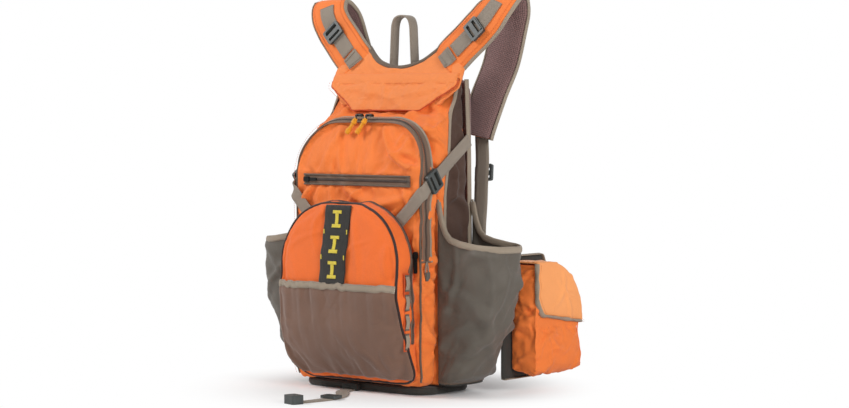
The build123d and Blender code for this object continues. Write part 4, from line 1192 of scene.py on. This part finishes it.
for side, label in SIDES:
    columns = []
    for p in bag_plan:
        column = []
        top = bag_rim(p[0])
        for t in np.arange(height_steps + 1) / height_steps:
            z = bag_floor + (top - bag_floor) * t
            reach = min(np.interp(z / MM, outline_z, outline_x) * MM, widest_x)
            share = (p[0] - wall_x) / (widest_x - wall_x)
            squeeze = (widest_x - reach) / 0.11
            column.append((wall_x + share * (reach - wall_x), p[1] + (0.012 - p[1]) * 0.10 * squeeze, z))
        columns.append(column)
    grid = np.array(columns)
    n, m = grid.shape[0], grid.shape[1]
    du = np.gradient(grid, axis=0)
    dv = np.gradient(grid, axis=1)
    out = np.cross(dv, du)
    out /= np.maximum(np.linalg.norm(out, axis=2), 1e-9)[:, :, None]
    if out[n // 2, m // 2, 0] < 0:
        out = -out
    pushed = grid.copy()
    for i in range(n):
        for j in range(m):
            p = grid[i, j]
            s, t = i / (n - 1), j / (m - 1)
            hold = min(1, t / 0.06) * min(1, s / 0.04) * min(1, (1 - s) / 0.06)
            hold *= min(1, (1 - t) / 0.08) * 0.6 + 0.4
            sag = 1.6 * sin(pi * t) * sin(pi * min(1, s * 2.2))
            slant = noise.noise(Vector((s * 5.0 + t * 2.4 + side, t * 1.6, 2.2)))
            folds = noise.noise(Vector((s * 11.0 - t * 4.0, t * 2.0 + side * 3, 9.1)))
            tiny = noise.noise(Vector((p[0] * 60, p[1] * 60, p[2] * 30)))
            drape = 2.4 * slant + 1.3 * (1 - 2 * abs(folds)) + 0.5 * tiny
            pushed[i, j] = p + out[i, j] * (sag - 1.5 + drape) * MM * hold
    flat_points = rumple(pushed.reshape(-1, 3), out.reshape(-1, 3), count=30, height=3.2, width=12, length=80,
                         slant=42, spread=20, seed=17 + side)
    low_high, back_front = np.meshgrid(np.linspace(0, 1, m), np.linspace(0, 1, n))
    from_edge = np.minimum.reduce([low_high / 0.06, (1 - low_high) / 0.06,
                                   back_front / 0.05, (1 - back_front) / 0.05])
    pushed = pushed + (flat_points.reshape(n, m, 3) - pushed) * np.clip(from_edge, 0, 1)[:, :, None]
    pushed[:, :, 0] *= side
    bag = skin("game_bag_" + label + "_cloth", pushed if side > 0 else pushed[::-1], False, GREY)
    thicken(bag, 1.4)
    finish_piece(bag, "pack", "grey_fabric", "game_bag_" + label)
    rim_line = pushed[:, -1]
    hem_line = rim_line - np.array((0, 0, 2.5 * MM))
    rim_ups = out[:, -1].copy()
    rim_ups[:, 0] *= side
    binding = [ribbon("outer", hem_line, rim_ups, width=9, thickness=2.2, material=BINDING, crown=0.3,
                      lift=-0.4),
               ribbon("inner", hem_line, -rim_ups, width=9, thickness=1.6, material=BINDING, crown=0.2,
                      lift=0.4),
               tube("edge", rim_line + np.array((0, 0, 1.6 * MM)), radius=1.6, material=BINDING),
               stitches("row", hem_line, rim_ups, GREY_THREAD, shift=3.2 * side, lift=1.9)]
    finish_piece(join("game_bag_binding_" + label, binding), "pack", "grey_webbing")
    foot_line = pushed[:, 1]
    floor_seam = tube("game_bag_floor_seam_" + label, resample(foot_line, 0.004), radius=1.8,
                      material=DARK_BINDING)
    finish_piece(floor_seam, "pack", "grey_webbing")
    inner_line = [(side * wall_x + (x - side * wall_x) * 0.02, y * 0.9, bag_floor) for x, y, _ in foot_line]
    floor_rings = [foot_line * np.array((1, 1, 0)) + np.array((0, 0, bag_floor)), np.array(inner_line)]
    floor_cloth = skin("game_bag_floor_" + label, floor_rings, False, BASE)
    thicken(floor_cloth, 2.0)
    finish_piece(floor_cloth, "pack", "grey_fabric")


# ---- hip belt wings, pouches and their lids ------------------------------------------------------
# Padded wings that turn on the pack's rear corners: mesh inside, dark nylon outside, bound round their
# edge. Each carries the belt's 38 mm webbing and a full cloth pouch, closed by a lid sewn on along its
# top, stitched and bound round its rim.
# The same nylon on the pouch lids, painted pale and dry: a painted highlight, a lit copy of the orange for
# lids that face up and out towards the lamps.
LID_PAINTED_HIGHLIGHT_ORANGE = cloth("lid_orange_nylon_painted_highlight", "fba462", pitch=0.9, drift=0.05, sheen=0.15)


def under_lid(p):
    """Where a pouch is held: along the wing, and all that lies under its lid."""
    return (abs(p[:, 0]) < 0.191) | ((p[:, 1] > 0.078) & (p[:, 2] > 0.098)) | (p[:, 2] > 0.187)


def lid_top(p):
    """Where a lid is held: along its hinge."""
    return (p[:, 2] > 0.196) & (abs(p[:, 0]) < 0.195)


for side, label in SIDES:
    body = "hip_wing_" + label
    wing = puff(body, "hip_pad_" + label, SPACER, voxel=3.4, pressure=0, cap=2.5,
                still=lambda p: p[:, 1] < 0.066,
                inset=0.6, fold=0.4, fold_scale=40, seed=3.0 + side)
    second_face(wing, BASE, lambda polygon: abs(polygon.center.x) > 0.1825)
    finish_piece(wing, body, "dark_mesh", body)
    belt_edge = [(side * 184, y, z) for y, z in ((62, 206), (154, 206), (181.5, 140), (181.5, 91), (150, 20),
                                                 (62, 20))]
    belt_line = resample(np.array(belt_edge) * MM, 0.004)
    even_out(belt_line, 1)
    belt_ups = belt_line - np.array((side * 0.184, 0, 0)) - np.array((0, 0.115, 0.113))
    belt_ups[:, 0] = 0
    belt_ups /= np.linalg.norm(belt_ups, axis=1)[:, None]
    pad_binding = ribbon("hip_pad_binding_" + label, belt_line, belt_ups, width=13, thickness=1.4,
                         material=BINDING,
                         crown=0.5, lift=-0.6)
    finish_piece(pad_binding, body, "grey_webbing")

    shoulder_arc = [(96 + 88 * sin(a), 108 + 88 * cos(a)) for a in np.linspace(0.1, pi / 2, 14)]
    wall_edge = [(70, 34), (70, 196), (96, 196)] + shoulder_arc + [(184, 34)]
    inner_seam, outer_seam = [[(side * x * MM, y * MM, z * MM) for y, z in wall_edge] for x in (189.3, 237.3)]
    pouch = puff("pouch_" + label, "pouch_shell_" + label, ORANGE, voxel=3.4, pressure=9, cap=8,
                 still=under_lid, seams=[inner_seam], inset=1.4, slack=0.06,
                 fold=2.0, fold_scale=30, stretch=(1, 0.6, 1.4), seed=8.0 + side,
                 folds=dict(count=60, height=2.3, width=7, length=38, slant=20, spread=25, seed=9))
    finish_piece(pouch, body, "orange_fabric", "pouch_" + label)
    seam_line, _ = on_cloth(resample(outer_seam, 0.003), tree_of(pouch), 0.0003)
    finish_piece(tube("pouch_piping_" + label, seam_line, radius=1.0, material=ORANGE), body, "orange_fabric")

    flap_body = "pouch_flap_" + label
    # Each lid is painted in the pale lit orange: painted highlight.
    flap_lid = puff(flap_body, "pouch_lid_" + label, LID_PAINTED_HIGHLIGHT_ORANGE, voxel=1.8, pressure=0, cap=2.5,
                    still=lid_top, fold=0.7, fold_scale=34, seed=1.0 + side,
                    folds=dict(count=16, height=1.4, width=6, length=30, slant=40, spread=30, seed=3))
    finish_piece(flap_lid, flap_body, "orange_fabric", flap_body)
    lid_edge = [(240.2, 67.5, 197), (240.2, 67.5, 140), (240.2, 70, 127), (240.2, 78, 118.8),
                (240.2, 90, 116),
                (240.2, 182, 102.6), (236, 186.6, 102), (200, 186.8, 102), (190, 186.8, 102)]
    lid_edge = np.array([(side * x, y, z) for x, y, z in lid_edge]) * MM
    lid_line, lid_ups = on_cloth(resample(lid_edge, 0.003), tree_of(flap_lid), 0.0002)
    lid_binding = ribbon("pouch_lid_binding_" + label, lid_line, lid_ups, width=7.5, thickness=1.4,
                         material=BINDING,
                         crown=0.4)
    finish_piece(lid_binding, flap_body, "grey_webbing")
    lid_row = stitches("pouch_lid_stitching_" + label, lid_line, lid_ups, THREAD, shift=-side * 6.5, lift=0.3)
    finish_piece(lid_row, flap_body, "orange_fabric")

    belt = [(177.7, 120), (177.7, 150), (177.7, 190), (177.0, 206), (172.5, 218), (163, 227), (149, 235.4)]
    belt_web = resample(curve_through([(side * x, y, 112) for x, y in belt], 10), 0.003)
    web_side = np.cross(ways(belt_web), up_way)
    hip_strap = ribbon("hip_strap_" + label, belt_web, web_side, width=38, thickness=1.7, material=WEBBING,
                       lift=-0.8)
    finish_piece(hip_strap, body, "grey_webbing", "hip_webbing_" + label)


# ---- compression straps, lower straps, lash strips, haul loop ------------------------------------
# Flat woven webbing sewn down at its ends: 20 mm compression straps round the front corners, 25 mm lower
# straps from the locks to the foot, a lash strip with four loops up each side of the lower pocket, and
# the haul loop on top.
compression_run = [(76, -68.9, 252), (100, -68.9, 274), (113, -68.9, 287), (124, -68.6, 299),
                   (129.0, -64, 305.5),
                   (129.6, -50, 317.3), (129.6, -20, 338), (129.6, 10, 359), (129.6, 44, 382)]
lower_run = [(110, 102, 410), (113.6, 97, 385), (118.6, 92, 350), (124, 82.5, 315), (128.2, 75.5, 285),
             (134, 64.5, 252), (139.6, 56.2, 226)]
lash_foot, lash_pitch = 70, 29
for side, label in SIDES:
    line = resample(curve_through([(side * x, y, z) for x, y, z in compression_run], 12), 0.003)
    normals = np.array([(side * np.clip((y + 0.069) / 0.006, 0, 1), -np.clip((-0.062 - y) / 0.006, 0, 1), 0.0)
                        + np.array((0, -0.02, 0)) for _, y, _ in line])
    normals /= np.linalg.norm(normals, axis=1)[:, None]
    compression = ribbon("compression_web_" + label, line, normals, width=20, thickness=1.8, material=WEBBING,
                         lift=-0.6)
    finish_piece(compression, "pack", "grey_webbing", "compression_strap_" + label)
    line = resample(curve_through([(side * x, y, z) for x, y, z in lower_run], 12), 0.004)
    normals = np.cross(ways(line), np.array((1.0, 0.0, 0.0)))
    normals *= np.sign(normals[:, 1])[:, None]
    normals /= np.linalg.norm(normals, axis=1)[:, None]
    lower_strap = ribbon("lower_strap_web_" + label, line, normals, width=25, thickness=1.8, material=WEBBING,
                         lift=-0.9)
    finish_piece(lower_strap, "pack", "grey_webbing", "lower_strap_webbing_" + label)
    outward = (side, 0.0, 0.0)
    # The lash strip's base is painted in the shaded orange: painted shade.
    lash = [bar("lash", np.array([(side * 116.6, -90, z) for z in (lash_foot, 186)]) * MM, outward,
                width=13, thickness=1.1, material=ORANGE_SHADE, step=0.003)]
    for k in range(4):
        z = lash_foot + (k + 0.5) * lash_pitch
        loop_run = np.array([(side * (117.9 + 2.2 * sin(pi * t)), -90, z - 10 + 20 * t)
                             for t in np.linspace(0, 1, 14)])
        lash.append(ribbon("lash", loop_run * MM, facing(loop_run, outward), width=8, thickness=1.2,
                           material=BINDING))
        for end in (-11, 11):
            lash.append(bar("lash", np.array([(side * 118.4, y, z + end) for y in (-95, -85)]) * MM, outward,
                            width=2.4, thickness=0.9, material=DARK_BINDING, step=0.002))
    finish_piece(join("side_lash_" + label, lash), "pack", "grey_webbing", "side_lash_strip_" + label)

loop_run = [(-30, 482.6), (-28.2, 512), (-26.6, 545), (-25.2, 560), (-20, 570), (-8, 573.6), (4, 570),
            (9.2, 560),
            (10.6, 545), (12.2, 512), (14, 482.6)]
line = resample(curve_through([(x, 57, z) for x, z in loop_run], 12), 0.003)
normals = np.cross(np.array((0.0, 1.0, 0.0)), ways(line))
haul_loop = ribbon("haul_loop_web", line, normals, width=19, thickness=2.4, material=WEBBING, lift=-1.2)
finish_piece(haul_loop, "haul_loop", "grey_webbing", "haul_loop")


# ---- base, back panel, pads and anchor -----------------------------------------------------------
# The base is heavy dark nylon that takes the ground's wear. Spacer mesh covers the back and its two
# columns of foam cushions, sewn round each cushion. The anchor is black webbing folded under the foot.
base_cloth = puff("base_panel", "base_cloth", BASE, voxel=3.5, pressure=0, cap=2, fold=0.5, fold_scale=30,
                  seed=2.0)
finish_piece(base_cloth, "pack", "base_fabric", "base_panel")
back = puff("back_panel", "back_panel_mesh", SPACER, voxel=4.0, pressure=0, cap=2,
            still=lambda p: p[:, 1] < 0.060,
            inset=0.4, fold=0.4, fold_scale=30, seed=1.0)
finish_piece(back, "pack", "dark_mesh", "back_panel")
pads = puff("back_pads", "back_pad_cushions", SPACER, voxel=3.2, pressure=5, cap=4,
            still=lambda p: p[:, 1] < 0.069,
            inset=1.0, slack=0.02, fold=0.4, fold_scale=30, seed=5.0)
finish_piece(pads, "pack", "dark_mesh", "back_pads")
anchor = puff("tail_anchor", "ground_strap_anchor", BLACK_WEBBING, voxel=1.6, pressure=0, cap=1, fold=0.2,
              fold_scale=80)
finish_piece(anchor, "pack", "black_webbing", "tail_anchor")


# ---- arched zipper sliders -----------------------------------------------------------------------
# Cast sliders with a wire bail, riding on the top of the arch. Each has a pull of yellow cord, knotted
# at the bail and ending in a thick grip for gloved hands.
# Braided yellow cord, glossy between its braids, and the brightest spot of the pack.
PULL = cloth("yellow_cord", "f4a41c", pitch=1.2, weave=0.7, drift=0.1, pattern="twill", rough=0.5, crease=0.0)
# Cast zinc with black paint: glossier than the plastics, worn bright in places.
SLIDER = solid("slider_metal", "1f1f1e", rough=0.3, metallic=0.6, grain=0.1)
for side, label in SIDES:
    x = side * 10
    body_line = [((x - 5.5 * side) * MM, -0.048, 0.4172), (x * MM, -0.048, 0.4178),
                 ((x + 5.5 * side) * MM, -0.048, 0.4172)]
    parts = [bar("slider", body_line, (0.0, 0.0, 1.0), width=7.5, thickness=2.8, material=SLIDER, step=0.001,
                 crown=0.4)]
    for run, per_run, radius, material, sides in (
            ([(0, -50.5, 418.5), (0, -53.5, 419.5), (0, -56, 416.5), (0, -54.6, 412.5)], 6, 0.9, SLIDER, 10),
            ([(-0.6, -55.4, 414.5), (-4.0, -56.8, 409), (-9.5, -57.0, 402), (-15.0, -56.6, 396)], 8, 2.9,
             PULL, 12),
            ([(-1.8, -56.4, 412), (-4.6, -57.2, 407.5)], 4, 4.2, PULL, 12),
            ([(-13.2, -56.9, 398), (-17.6, -56.6, 392.5)], 4, 4.2, PULL, 12)):
        run = curve_through([(x + along, y, z) for along, y, z in run], per_run)
        parts.append(tube("part", run, radius, material, sides=sides))
    finish_piece(join("arch_pull_" + label, parts), "arch_slider_" + label, "zipper_metal", "arch_slider_"
                 + label)


# ---- buckles, plain sliders and hidden frame -----------------------------------------------------
# Injection-moulded locks, belt buckle, tri-glide and end block, cast zipper sliders, and inside the back
# a plastic sheet with two aluminium stays. They stand as solids, their moulded edges rounded.
# Moulded black-grey acetal: half-matt, with a fine moulded grain.
PLASTIC = solid("moulded_plastic", "3c403f", rough=0.4)
# Extruded polyethylene sheet, black and half-matt; hidden inside the back.
SHEET = solid("frame_sheet_plastic", "17181a", rough=0.5)
# Bare rolled aluminium bar: bright metal with a fine grain; hidden inside the back.
ALUMINIUM = solid("stay_aluminium", "b9babc", rough=0.3, metallic=1.0, grain=0.15)
for name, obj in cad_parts.items():
    if "lock" in name or "buckle" in name or name in ("tail_triglide", "tail_end"):
        paint, round_off = PLASTIC, 0.7
    elif "slider" in name:
        paint, round_off = SLIDER, 0.5
    elif name == "frame_stays":
        paint, round_off = ALUMINIUM, 0.4
    elif name == "frame_sheet":
        paint, round_off = SHEET, 0.4
    else:
        continue
    obj.data.materials.clear()
    obj.data.materials.append(paint)
    soften = obj.modifiers.new("soften", "BEVEL")
    soften.width = round_off * MM
    soften.segments = 2
    soften.limit_method = "ANGLE"
